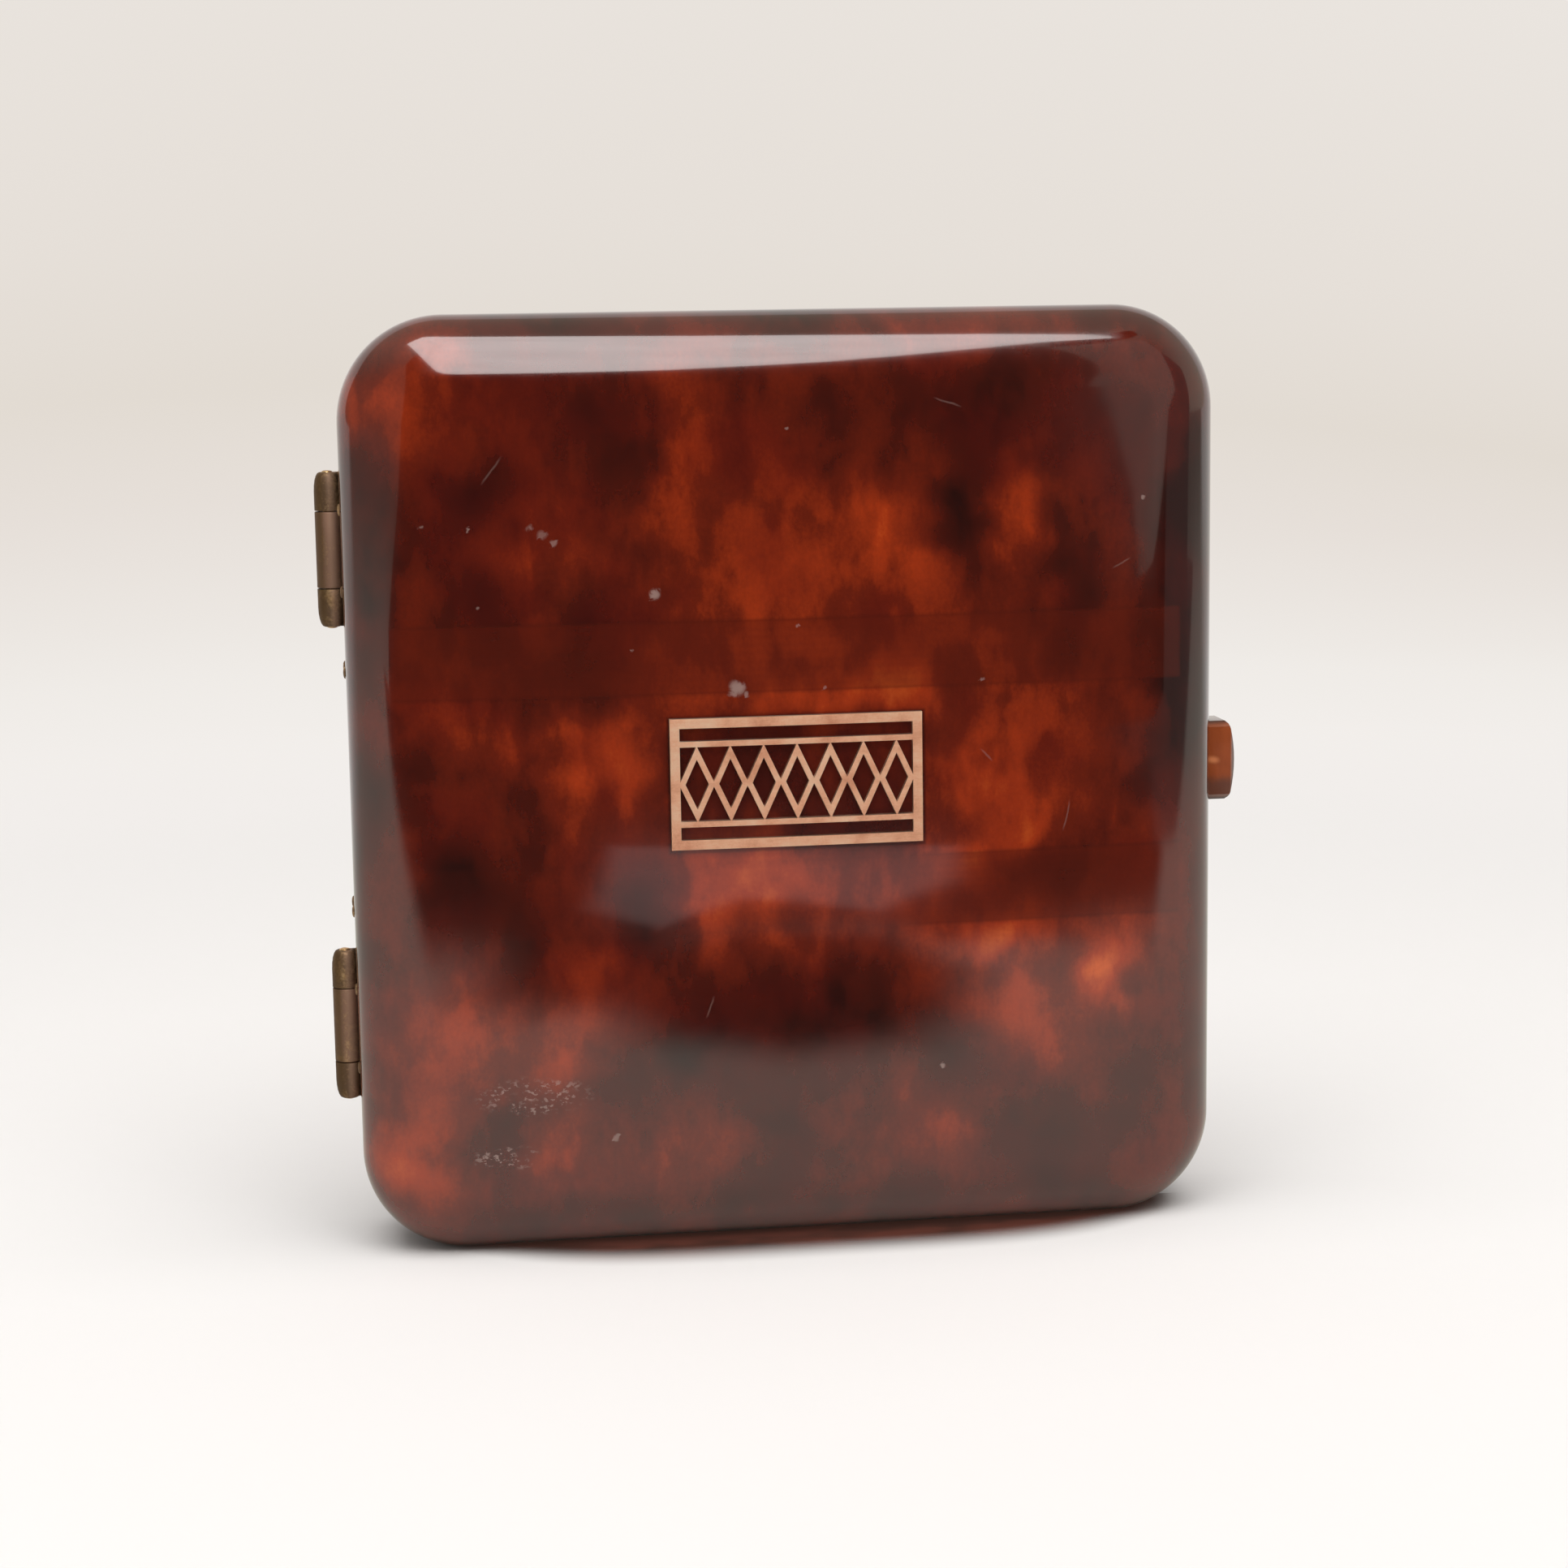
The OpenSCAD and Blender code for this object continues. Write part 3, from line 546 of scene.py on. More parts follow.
def cloud_field(x, z, clouds):
    """The summed strength of the clouds at places on the face.

    Each cloud adds its strength times exp(-(dx/width)^2 - (dz/height)^2). The plane is bent
    first by slow waves, which gives the clouds uneven edges.
    """
    bent_x = x + 0.7 * np.sin(z * 0.55 + 1.3) + 0.5 * np.sin(z * 1.37 + x * 0.31)
    bent_z = z + 0.8 * np.sin(x * 0.47 + 0.4) + 0.6 * np.sin(x * 1.21 - z * 0.36)
    cx, cz, width, height, strength = np.array(clouds, float).T
    dx = (bent_x[:, None] - cx) / width
    dz = (bent_z[:, None] - cz) / height
    return (strength * np.exp(-dx * dx - dz * dz)).sum(1)


def back_clouds():
    """Clouds for the back, scattered over it with a fixed seed."""
    rng = np.random.default_rng(BACK_CLOUD_SEED)
    # The lowest and the highest x, z, width, height and strength
    low, high = np.array([[-38, -41, 3.5, 4, -1.1], [38, 41, 8, 8, 1.1]])
    return rng.uniform(low, high, (BACK_CLOUD_COUNT, 5))


def mark_clouds(piece, clouds):
    """Stores the cloud field at each point of a piece as the attribute 'clouds'."""
    place = (points_of(piece.data) - MIDDLE) / MM
    # The clouds lean with the depth, so that they don't run straight across the sides
    lean = (HALF_T / MM - np.abs(place[:, 1])) * 0.8
    field = cloud_field(place[:, 0] + lean, place[:, 2] - 0.6 * lean, clouds)
    store(piece.data, "clouds", field)


def strap_shadow(net, colour, finish, place, strap, outer):
    """Paints a strap's shadow through the plastic: darkens and dulls it over a strap, more so on one side of the
    face.
    """
    x, z = place
    middle, half, on_left, on_right = strap
    blur, fade_from, strap_end = 0.12, 34.5, 37.0
    left_until, right_from = 6.0, 15.0
    off = net.size(z - middle / MM)
    inside = net.step(off, half / MM + blur, half / MM - blur)
    ends = net.step(net.size(x), strap_end, fade_from) * outer
    share = on_left + net.step(x, left_until, right_from) * (on_right - on_left)
    ribs = net.wave(z * 9.0) * 0.05
    # Painted shade: a dark line along the strap's edges
    line = net.step(net.size(off - half / MM), 0.3, 0.05) * 0.25
    band = tuple(0.55 * g + 0.45 * r for g, r in zip(finish.garnet, finish.russet))
    colour = net.mix(inside * ends * share * (0.9 + ribs), colour, band)
    return net.mix(line * ends * share, colour, finish.mahogany)


def wear_marks(net, place, chips, rubs, scratches):
    """How worn each point is: chips as torn spots, rubs as crumbly patches, scratches as hairs."""
    x, z = place
    grain = net.noise(net.place((1, 1, 1), (40, 0, 9)), 1.0, 2.0, 0.6, 1.2)
    torn = net.noise(net.place((0.7, 1, 1), (2, 0, 5)), 0.55, 3.0, 0.6)
    crumbs = net.noise(net.place((0.8, 1, 1.2), (1, 5, 3)), 2.4, 3.0, 0.6)
    marks = []
    for rub in rubs:
        dx, dz = (x - rub[0]) / rub[2], (z - rub[1] + torn * 2.2) / rub[3]
        flecks = net.step(crumbs, 0.02, 0.11) * net.step(torn, -0.14, 0.06)
        marks.append(net.step(dx * dx + dz * dz, 1.0, 0.2) * flecks)
    for chip in chips:
        marks.append(net.spot(x + grain * 1.1, z + grain * 0.9, chip, chip[2], 0.7) * chip[3])
    for cx, cz, angle, length in scratches:
        ux, uz = math.cos(math.radians(angle)), math.sin(math.radians(angle))
        along = net.size((x - cx) * ux + (z - cz) * uz)
        off = net.size((z - cz) * ux - (x - cx) * uz + torn * 0.5)
        marks.append(net.step(off, 0.11, 0.03) * net.step(along, length / 2, length / 5) * 0.28)
    worn = marks[0]
    for mark in marks[1:]:
        worn = net.larger(worn, mark)
    return worn


def badge_painted_shade(net, place):
    """The painted shadow round the badge's edge and the painted shade inside its frame, from 0 to 1."""
    x, z = place
    low, high = corners("badge")
    middle, half = ((low + high) / 2 - MIDDLE) / MM, (high - low) / 2 / MM
    # The painted shadow lies a little more to the right and below, away from light from the upper left
    right, down = 0.08, 0.14
    beyond = net.larger(net.size(x - middle[0] - right) - half[0],
                        net.size(z - middle[2] + down) - half[2])
    return net.step(beyond, 0.42, 0.12) * 0.62 - net.step(beyond, -0.3, -1.4) * 0.34


def tortoise_look(name, finish, straps, front=False):
    """Mottled plastic: clouds, then streaks that run up and down, under a clear polish."""
    look, net = material(name)
    x, y, z = net.xyz(net.place())
    drift = net.noise(net.place((1, 1, 0.75)), 0.14, 2.0, 0.5)
    smoke = net.noise(net.place((1, 0.8, 0.62), (3, 0, 8)), 0.27, 2.0, 0.5, 0.12)
    threads = net.noise(net.place((1, 0.8, 0.45)), 0.8, 4.0, 0.65)
    fuzz = net.noise(net.place((1, 1, 0.8)), 3.2, 2.0, 0.6)
    # Painted shade: seen along the wall the side is thicker, so the sides and rolled edges are painted darker
    side = net.step(net.size(y), 8.2, 3.2)
    edges = net.step(smoke + drift * 0.7 + threads * 0.3, -0.09, 0.09) * 0.07
    tone = 0.44 + net.attribute("clouds") * 0.30 + drift * 0.26 + smoke * 0.30 + edges
    tone = tone + threads * 0.15 + fuzz * 0.125 - side * 0.17
    colour = net.ramp(tone, [
        (0.08, finish.mahogany), (0.34, finish.garnet), (0.54, finish.russet),
        (0.78, finish.ember), (1.0, finish.flame)])
    crimson = net.step(net.noise(net.place((1, 1, 1), (9, 0, 4)), 0.10, 2.0), -0.05, 0.12)
    colour = net.mix(crimson * 0.25, colour, (0.105, 0.0052, 0.0034))
    # 1 on the outer skin of the face, 0 on its inside, which reaches 7.2 millimetres
    outer = net.step(net.size(y), 7.22, 7.34)
    for strap in straps:
        colour = strap_shadow(net, colour, finish, (x, z), strap, outer)
    hair = net.noise(net.place((0.25, 1, 3.2), (7, 3, 1)), 1.8, 2.0, 0.5)
    rough = 0.11 + net.size(hair) * 0.10 + net.size(fuzz) * 0.06
    bumps = net.noise(net.place((1, 1, 1)), 0.9, 3.0, 0.5) + hair * 0.2
    if front:
        # Painted shadow round the badge and painted shade inside its frame
        colour = net.mix(badge_painted_shade(net, (x, z)) * outer, colour, finish.mahogany)
        worn = wear_marks(net, (x, z), CHIPS, RUBS, SCRATCHES) * outer
        colour = net.mix(worn * 0.5, colour, (0.46, 0.33, 0.29))
        rough = rough + worn * 0.4
        bumps = bumps - worn * 0.8
    net.surface(
        Base_Color=colour, Roughness=rough, Normal=net.bump(bumps, 0.004 * MM, 0.5),
        IOR=1.5, Coat_Weight=1.0, Coat_Roughness=0.03, Coat_IOR=1.5)
    return look


def amber_look(finish, low, high):
    """Polished orange-brown plastic with a painted dark outline of shade, a painted greyer reflection on its lower
    part and a small painted glint.
    """
    look, net = material("amber plastic")
    x, _, z = net.xyz(net.place())
    centre = ((low + high) / 2 - MIDDLE) / MM
    half = (high - low) / 2 / MM
    tip = (high[0] - MIDDLE[0]) / MM
    # Painted shade: dark along its upper and lower edge, round its tip and where it leaves the shells
    outline = net.larger(net.step(net.size(z - centre[2]) / half[2], 0.88, 1.0),
                         net.step(x, tip - 0.55, tip - 0.12))
    outline = net.larger(outline, net.step(net.size(x - HALF_W / MM - 0.05), 0.40, 0.10))
    smoke = net.noise(net.place((1, 1, 0.5)), 0.8, 4.0, 0.6)
    colour = net.ramp(0.55 + smoke * 0.9, [
        (0.0, tuple(0.6 * c for c in finish.amber)), (0.5, finish.amber),
        (1.0, tuple(min(1, 1.4 * c) for c in finish.amber))])
    # Painted reflection: greyer towards the button's lower part
    painted_floor_reflection = net.step(z + smoke * 0.8, centre[2] - half[2] * 0.30, centre[2] - half[2] * 0.62)
    colour = net.mix(painted_floor_reflection * 0.8, colour, (0.105, 0.046, 0.033))
    # Painted glint: a small bright spot
    painted_glint = net.spot(x * 0.6 + z * 0.2, z, (0.6 * (HALF_W / MM + 0.8), centre[2] + 0.1), 0.5, 0.9)
    colour = net.mix(painted_glint * 0.8, colour, (0.75, 0.26, 0.10))
    colour = net.mix(outline * 0.8, colour, finish.mahogany)
    net.surface(
        Base_Color=colour, Roughness=0.12 + net.size(smoke) * 0.12, IOR=1.5,
        Coat_Weight=0.6, Coat_Roughness=0.04, Coat_IOR=1.5)
    return look


def brass_look(name, clean, dark, age, rough, scale=0.6, barrels=False):
    """Brass under patches of tarnish, with pits and rubbed places in it.

    On the hinges' barrels the outer side gets a painted olive brown shade, and a painted highlight runs down the
    front.
    """
    look, net = material(name)
    clouds = net.noise(net.place((1, 1, 0.7)), scale, 5.0, 0.65, 0.5)
    pits = net.noise(net.place(), 5.0 * scale + 2.0, 3.0, 0.6)
    cover = net.step(clouds + pits * 0.35 + (age - 0.5), -0.20, 0.20)
    warm = tuple(c * f for c, f in zip(clean, (1.0, 0.82, 0.62)))
    metal = net.mix(net.step(pits, -0.3, 0.3), clean, warm)
    colour = net.mix(cover, metal, dark)
    if barrels:
        x, _, _ = net.xyz(net.place())
        # Painted shade on the barrel's outer side
        off = x - (HINGE_X - MIDDLE[0]) / MM + clouds * 0.4
        colour = net.mix(net.step(off, -0.10, -0.75) * 0.8, colour, (0.085, 0.042, 0.010))
        # Painted highlight: a pale streak down the barrel's front
        colour = net.mix(net.step(net.size(off - 0.3), 0.55, 0.1) * 0.5, colour, (0.44, 0.28, 0.19))
    net.surface(
        Base_Color=colour, Metallic=1.0 - cover * 0.55,
        Roughness=rough + cover * 0.22 + net.size(pits) * 0.25,
        Normal=net.bump(pits + clouds * 0.5, 0.012 * MM, 0.7))
    return look


def gilt_look(finish):
    """Rose gilt sheet, with a painted highlight along its bevelled edges and painted shade on its cut sides.

    The attribute 'turned' is 0 on the flat faces and 1 where the surface faces sideways.
    """
    look, net = material("rose gilt")
    cloud = net.noise(net.place((0.8, 1, 1)), 0.38, 4.0, 0.65)
    brush = net.noise(net.place((0.35, 1, 4.0)), 4.0, 2.0, 0.5)
    pores = net.noise(net.place(), 9.0, 2.0, 0.5)
    turned = net.attribute("turned")
    pale = tuple(min(1.0, c * f) for c, f in zip(finish.gilt, (1.06, 1.35, 1.5)))
    dull = tuple(c * f for c, f in zip(finish.gilt, (0.78, 0.62, 0.58)))
    colour = net.ramp(0.5 + cloud * 1.7 + brush * 0.35 + pores * 0.3, [
        (0.12, dull), (0.5, finish.gilt), (0.9, pale)])
    # Painted highlight on the bevels, where the surface begins to face sideways
    colour = net.mix(net.step(turned, 0.04, 0.40) * 0.7, colour, pale)
    # Painted shade on the cut sides, which face fully sideways
    painted_side_shade = tuple(0.22 * c for c in finish.gilt)
    colour = net.mix(net.step(turned, 0.62, 0.95) * 0.85, colour, painted_side_shade)
    net.surface(
        Base_Color=colour, Metallic=0.42, Roughness=0.36 + net.size(brush) * 0.3,
        Normal=net.bump(brush + pores * 0.6, 0.01 * MM, 0.6))
    return look


def steel_look(finish):
    """Blued strip steel, drawn along its length."""
    look, net = material("spring steel")
    lines = net.noise(net.place((1, 7.0, 0.3)), 1.6, 3.0, 0.5)
    heat = net.noise(net.place((1, 1, 1)), 0.35, 2.0, 0.5)
    straw = (0.42, 0.31, 0.18)
    colour = net.mix(net.step(heat, -0.12, 0.25), finish.steel, straw)
    net.surface(
        Base_Color=colour, Metallic=1.0, Roughness=0.28 + net.size(lines) * 0.35,
        Normal=net.bump(lines, 0.008 * MM, 0.6))
    return look


def elastic_look(finish, width, rib_count):
    """Woven elastic: fine ribs along it, crossed by threads, paler where it has rubbed.

    The UV map gives millimetres along the strap and across it.
    """
    look, net = material("woven elastic")
    uv = net.node("ShaderNodeUVMap", {"uv_map": "along"})
    u, v, _ = net.xyz(uv)
    ribs = net.wave(v * (2 * math.pi * rib_count / (width / MM)))
    picks = net.wave(u * (2 * math.pi / 0.42) + ribs * 1.4)
    fibre = net.noise(net.node("ShaderNodeVectorMath", {"operation": "MULTIPLY"}, {
        0: uv, 1: (0.6, 3.0, 1.0)}), 3.0, 4.0, 0.7)
    rubbed = net.noise(uv, 0.22, 3.0, 0.6)
    weave = picks * 0.5 + ribs * 0.35
    tone = 0.5 + weave * 0.26 + fibre * 0.8 + rubbed * 0.5
    deep = tuple(c * 0.35 for c in finish.elastic)
    pale = tuple(min(1.0, c * f) for c, f in zip(finish.elastic, (2.0, 2.1, 2.2)))
    colour = net.ramp(tone, [(0.1, deep), (0.5, finish.elastic), (0.95, pale)])
    border = net.step(net.size(v) * (2 * MM / width), 0.86, 0.97)
    colour = net.mix(border * 0.6, colour, deep)
    net.surface(
        Base_Color=colour, Roughness=0.82 + fibre * 0.2, Sheen_Weight=0.25, Sheen_Roughness=0.4,
        Normal=net.bump(0.5 + weave * 0.4 + fibre * 0.3, 0.06 * MM, 0.8))
    return look


# Shells

def ring_plan(half_x, half_z, corner, step):
    """Centres and directions from which every inset of the rounded outline follows.

    A point of the outline at an inset is its centre plus (corner - inset) times its direction.
    On a straight side the direction stays and the centre runs from one corner to the next.
    """
    turn_steps = max(8, round(corner * math.pi / 2 / (step * 0.6)))
    centres, directions = [], []
    signs = ((1, 1), (-1, 1), (-1, -1), (1, -1))
    for i, (sx, sz) in enumerate(signs):
        here = np.array([sx * (half_x - corner), sz * (half_z - corner)])
        angle = np.linspace(i, i + 1, turn_steps + 1) * math.pi / 2
        centres.append(np.repeat(here[None], turn_steps + 1, 0))
        directions.append(np.stack([np.cos(angle), np.sin(angle)], -1))
        nx, nz = signs[(i + 1) % 4]
        there = np.array([nx * (half_x - corner), nz * (half_z - corner)])
        steps = max(2, round(np.linalg.norm(there - here) / step))
        share = np.arange(1, steps)[:, None] / steps
        centres.append(here + (there - here) * share)
        directions.append(np.repeat(directions[-1][-1:], steps - 1, 0))
    return np.concatenate(centres), np.concatenate(directions)


def shell_stations(shape):
    """The rings of one half from the outer middle over the rim to the inner middle.

    Each row is inset, share of the ring's size, height above the seam, wall and crown,
    where wall is how far in the surface's own outline lies and crown is 1 on the dome.
    """
    rise = HALF_T - shape.band - shape.dome
    # The dome, the rolled edge and the side band outside
    shares = np.linspace(0, 1, 40)[1:-1] ** 0.85
    rows = [(shape.roll, share, shape.band + rise, 0, 1) for share in shares]
    for a in np.linspace(math.pi / 2, 0, 26):
        rows.append((shape.roll * (1 - math.cos(a)), 1, shape.band + rise * math.sin(a), 0, 1))
    rim = shape.gap + shape.rim_round
    rows += [(0, 1, y, 0, 0) for y in np.linspace(shape.band, rim, 5)[1:]]
    # The rim, rounded on both sides
    for a in np.linspace(0, math.pi / 2, 5)[1:]:
        rows.append((shape.rim_round * (1 - math.cos(a)), 1,
                     shape.gap + shape.rim_round * (1 - math.sin(a)), 0, 0))
    for a in np.linspace(math.pi / 2, 0, 5):
        rows.append((shape.wall - shape.rim_round * (1 - math.cos(a)), 1,
                     shape.gap + shape.rim_round * (1 - math.sin(a)), 0, 0))
    # The band, the rolled edge and the dome inside
    rows += [(shape.wall, 1, y, 0, 0) for y in np.linspace(rim, shape.band, 4)[1:-1]]
    for a in np.linspace(0, math.pi / 2, 14):
        rows.append((shape.wall + (shape.roll - shape.wall) * (1 - math.cos(a)), 1,
                     shape.band + (rise - shape.wall) * math.sin(a), shape.wall, 1))
    rows += [(shape.roll, share, shape.band + rise - shape.wall, shape.wall, 1)
             for share in np.linspace(1, 0, 24)[1:-1]]
    return np.array(rows, float)


def ripples(x, z):
    """Faint waves from 0 to 1 over the face: the mean of three slow sines."""
    waves = (np.sin(x / MM * 0.19 + z / MM * 0.07 + 0.6)
             + np.sin(z / MM * 0.23 - x / MM * 0.05 + 2.1)
             + np.sin(x / MM * 0.11 - z / MM * 0.16 + 4.0))
    return 0.5 + waves / 6


def shell_mesh(name, shape, side):
    """One hollow half: rings of the rounded outline, set at the heights of its stations.

    The face's height is the station's, plus the dome times (1 - x^2/a^2)(1 - z^2/b^2),
    where a and b are the half width and half height of that surface's outline.
    """
    centres, directions = ring_plan(HALF_W, HALF_H, shape.corner, 1.0 * MM)
    inset, share, height, wall, crown = (c[:, None] for c in shell_stations(shape).T)
    flat = (centres[None] + (shape.corner - inset)[..., None] * directions[None]) * share[..., None]
    x, z = flat[..., 0], flat[..., 1]
    across, upwards = x / (HALF_W - wall), z / (HALF_H - wall)
    domed = crown * shape.dome * (1 - across ** 2) * (1 - upwards ** 2)
    faded = np.clip(inset / shape.roll, 0, 1) * crown * (wall == 0)
    y = height + domed - shape.ripple * ripples(x, z) * faded
    rows, count = flat.shape[:2]
    points = np.stack([x, side * y, z], -1).reshape(-1, 3)
    top = HALF_T - shape.ripple * ripples(np.zeros(1), np.zeros(1))[0]
    poles = np.array([[0, side * top, 0], [0, side * (HALF_T - shape.wall), 0]])
    points = np.concatenate([points, poles]) + MIDDLE
    faces = [grid_faces(rows, count, close_columns=True),
             fan_faces(0, count, rows * count), fan_faces((rows - 1) * count, count, rows * count + 1)]
    return mesh_piece(name, points, faces)


def rivet_places(*nodes):
    """The y and z of each solid of a rivet node, with the side wall that it goes through."""
    places = set()
    for node in nodes:
        co = points_of(frame["nodes"][node].data)
        side = np.where(co[:, 0] > MIDDLE[0], RIGHT, LEFT)
        # Heights in half millimetres, and a new solid wherever more than one lies between
        spans = np.round((co[:, 2] - MIDDLE[2]) / MM * 2) / 2
        for s in (LEFT, RIGHT):
            zs = np.unique(spans[side == s])
            if len(zs):
                for part in np.split(zs, np.where(np.diff(zs) > 1.0)[0] + 1):
                    inside = (side == s) & (spans >= part[0]) & (spans <= part[-1])
                    y = (co[inside, 1].min() + co[inside, 1].max()) / 2
                    z = (co[inside, 2].min() + co[inside, 2].max()) / 2
                    places.add((s, round(y, 6), round(z, 6)))
    return sorted(places)


def wall_rods(places, radius, start, end):
    """Rods along X through the side walls at rivet places, from start to end past the middle."""
    return [rod(radius, np.array([MIDDLE[0] + s * start, y, z]),
                np.array([MIDDLE[0] + s * end, y, z]))
            for s, y, z in places]


def recess_rods():
    """Upright rods round the hinges' barrels, a little larger than they are."""
    shapes = []
    for node in ("upper_hinge_back_leaf", "lower_hinge_back_leaf"):
        low, high = corners(node)
        radius = HINGE_X - low[0] + CUT_CLEAR
        tall = np.array([high[2] - low[2] + 2 * CUT_CLEAR, 0, 0])
        points, faces = rod(radius, np.zeros(3), tall, 64)
        upright = np.stack([points[:, 2], points[:, 1], points[:, 0]], -1)
        shapes.append((upright + np.array([HINGE_X, SEAM_Y, low[2] - CUT_CLEAR]), faces))
    return shapes


def recess_blocks(side):
    """Blocks that take the hinges' webs out of the rims."""
    shapes = []
    depth, beyond = 0.51 * MM, 0.3 * MM
    for node in ("upper_hinge_back_leaf", "lower_hinge_back_leaf"):
        low, high = corners(node)
        y = sorted([SEAM_Y - side * MM, SEAM_Y + side * depth])
        shapes.append(block((HINGE_X, y[0], low[2] - CUT_CLEAR),
                            (high[0] + beyond, y[1], high[2] + CUT_CLEAR)))
    return shapes


def button_window(side):
    """The half of the button's window that lies in one half of the case."""
    low, high = corners("push_button")
    deep = 3 * MM
    y = sorted([SEAM_Y - side * MM, SEAM_Y + side * ((high[1] - low[1]) / 2 + CUT_CLEAR)])
    return block((MIDDLE[0] + HALF_W - deep, y[0], low[2] - CUT_CLEAR),
                 (MIDDLE[0] + HALF_W + MM, y[1], high[2] + CUT_CLEAR))


class PocketCaseShells(bpy.types.Operator):
    """Makes the two moulded halves with their hinge recesses, window and holes"""

    bl_idname = "pocket_case.shells"
    bl_label = "Shells"

    def execute(self, context):
        shape = context.scene.pocket_case_shape
        finish = context.scene.pocket_case_finish
        hole, counterbore = 0.37 * MM, 0.57 * MM
        start, end = HALF_W - shape.wall - MM, HALF_W + MM
        keeper_hole_end, counterbore_start = HALF_W - 0.2 * MM, HALF_W - 0.32 * MM
        strap_bands = {BACK: [], FRONT: []}
        for node, shares in zip(("back_upper_strap", "back_lower_strap"), STRAP_SHARES):
            low, high = corners(node)
            middle = (low[2] + high[2]) / 2 - MIDDLE[2]
            strap_bands[BACK].append((middle, SHOWN_STRAP / 2, *shares))
            strap_bands[FRONT].append((middle + STRAP_RISE, SHOWN_STRAP / 2, *shares))
        sides = (
            (BACK, "back", back_clouds(), ("hinge_rivets_back", "strap_rivets_back", "catch_rivets")),
            (FRONT, "front", FRONT_CLOUDS, ("hinge_rivets_front", "strap_rivets_front")),
        )
        for side, word, clouds, rivets in sides:
            piece = shell_mesh(f"{word}_shell_moulding", shape, side)
            cuts = recess_rods() + [button_window(side)]
            cuts += wall_rods(rivet_places(*rivets), hole, start, end)
            if side == FRONT:
                keeper_places = rivet_places("keeper_rivets")
                cuts += wall_rods(keeper_places, hole, start, keeper_hole_end)
                cut_away(piece, gather("counterbores", wall_rods(
                    keeper_places, counterbore, counterbore_start, end)))
            cut_away(piece, gather("round cuts", cuts))
            cut_away(piece, gather("web cuts", recess_blocks(side)))
            mark_clouds(piece, clouds)
            look = tortoise_look(
                f"{word} tortoise plastic", finish, strap_bands[side], side == FRONT)
            fit_out(shade(piece, 30.0), look, "tortoise_shell", f"{word}_shell")
        lip = soften(node_copy("locating_lip", "locating_lip_strips"), 0.12 * MM)
        mark_clouds(lip, back_clouds())
        look = tortoise_look("lip tortoise plastic", finish, ())
        fit_out(shade(lip), look, "tortoise_shell", "locating_lip")
        return {"FINISHED"}


# Hinges and rivets

class PocketCaseHinges(bpy.types.Operator):
    """Makes the hinge leaves and pins in tarnished brass"""

    bl_idname = "pocket_case.hinges"
    bl_label = "Hinges"

    def execute(self, context):
        finish = context.scene.pocket_case_finish
        pinkish = (0.27, 0.150, 0.098)
        deep = tuple(0.75 * c for c in finish.tarnish)
        outer = brass_look("hinge brass", finish.brass, deep, 0.64, 0.36, 0.5, barrels=True)
        middle = brass_look("knuckle brass", finish.brass, pinkish, 0.68, 0.34, 0.7, barrels=True)
        pin = brass_look("pin brass", finish.brass, finish.tarnish, 0.40, 0.26, 0.8)
        for place in ("upper", "lower"):
            stem = f"{place}_hinge"
            for leaf, look in (("back_leaf", outer), ("front_leaf", middle)):
                finished_copy(f"{stem}_{leaf}", f"{stem}_{leaf}_brass", look, "aged_brass", 0.07 * MM)
            finished_copy(f"{stem}_pin", f"{stem}_pin_brass", pin, "hinge_pin_brass", 0.06 * MM)
        return {"FINISHED"}


class PocketCaseRivets(bpy.types.Operator):
    """Makes the rivets and the strap clamps"""

    bl_idname = "pocket_case.rivets"
    bl_label = "Rivets and clamps"

    def execute(self, context):
        finish = context.scene.pocket_case_finish
        dull = brass_look("rivet brass", finish.brass, finish.tarnish, 0.62, 0.36, 0.9)
        plate = brass_look("clamp brass", finish.brass, finish.tarnish, 0.42, 0.30, 0.6)
        for node in ("hinge_rivets_back", "hinge_rivets_front", "strap_rivets_back",
                     "strap_rivets_front", "catch_rivets", "keeper_rivets"):
            finished_copy(node, f"{node}_brass", dull, "rivet_brass", 0.05 * MM, 2, 50.0)
        for node in ("strap_clamps_back", "strap_clamps_front"):
            finished_copy(node, f"{node}_brass", plate, "catch_brass", 0.06 * MM)
        return {"FINISHED"}


# Straps

def strap_path(low, high, side, thick, bend, step):
    """The middle line of a strap: up one wall, round a bend, across, and down the other wall.

    Returns points as x and height above the seam, and the outward direction at each.
    """
    half = (high[0] - low[0]) / 2 - thick / 2
    near = low[1] - SEAM_Y if side == BACK else SEAM_Y - high[1]
    far = high[1] - SEAM_Y if side == BACK else SEAM_Y - low[1]
    level = near + thick / 2
    radius = bend - thick / 2
    leg = np.arange(far, level + radius, -step)
    turn = np.linspace(0, math.pi / 2, 9)[1:]
    across = np.arange(-(half - radius), half - radius, step)
    points = [(-half, y) for y in leg]
    outward = [(-1.0, 0.0)] * len(leg)
    points += [(-half + radius * (1 - math.cos(a)), level + radius * (1 - math.sin(a)))
               for a in turn]
    outward += [(-math.cos(a), -math.sin(a)) for a in turn]
    points += [(x, level) for x in across[1:]]
    outward += [(0.0, -1.0)] * (len(across) - 1)
    points += [(half - radius * (1 - math.cos(a)), level + radius * (1 - math.sin(a)))
               for a in turn[::-1]]
    outward += [(math.cos(a), -math.sin(a)) for a in turn[::-1]]
    points += [(half, y) for y in leg[::-1]]
    outward += [(1.0, 0.0)] * len(leg)
    return np.array(points), np.array(outward)


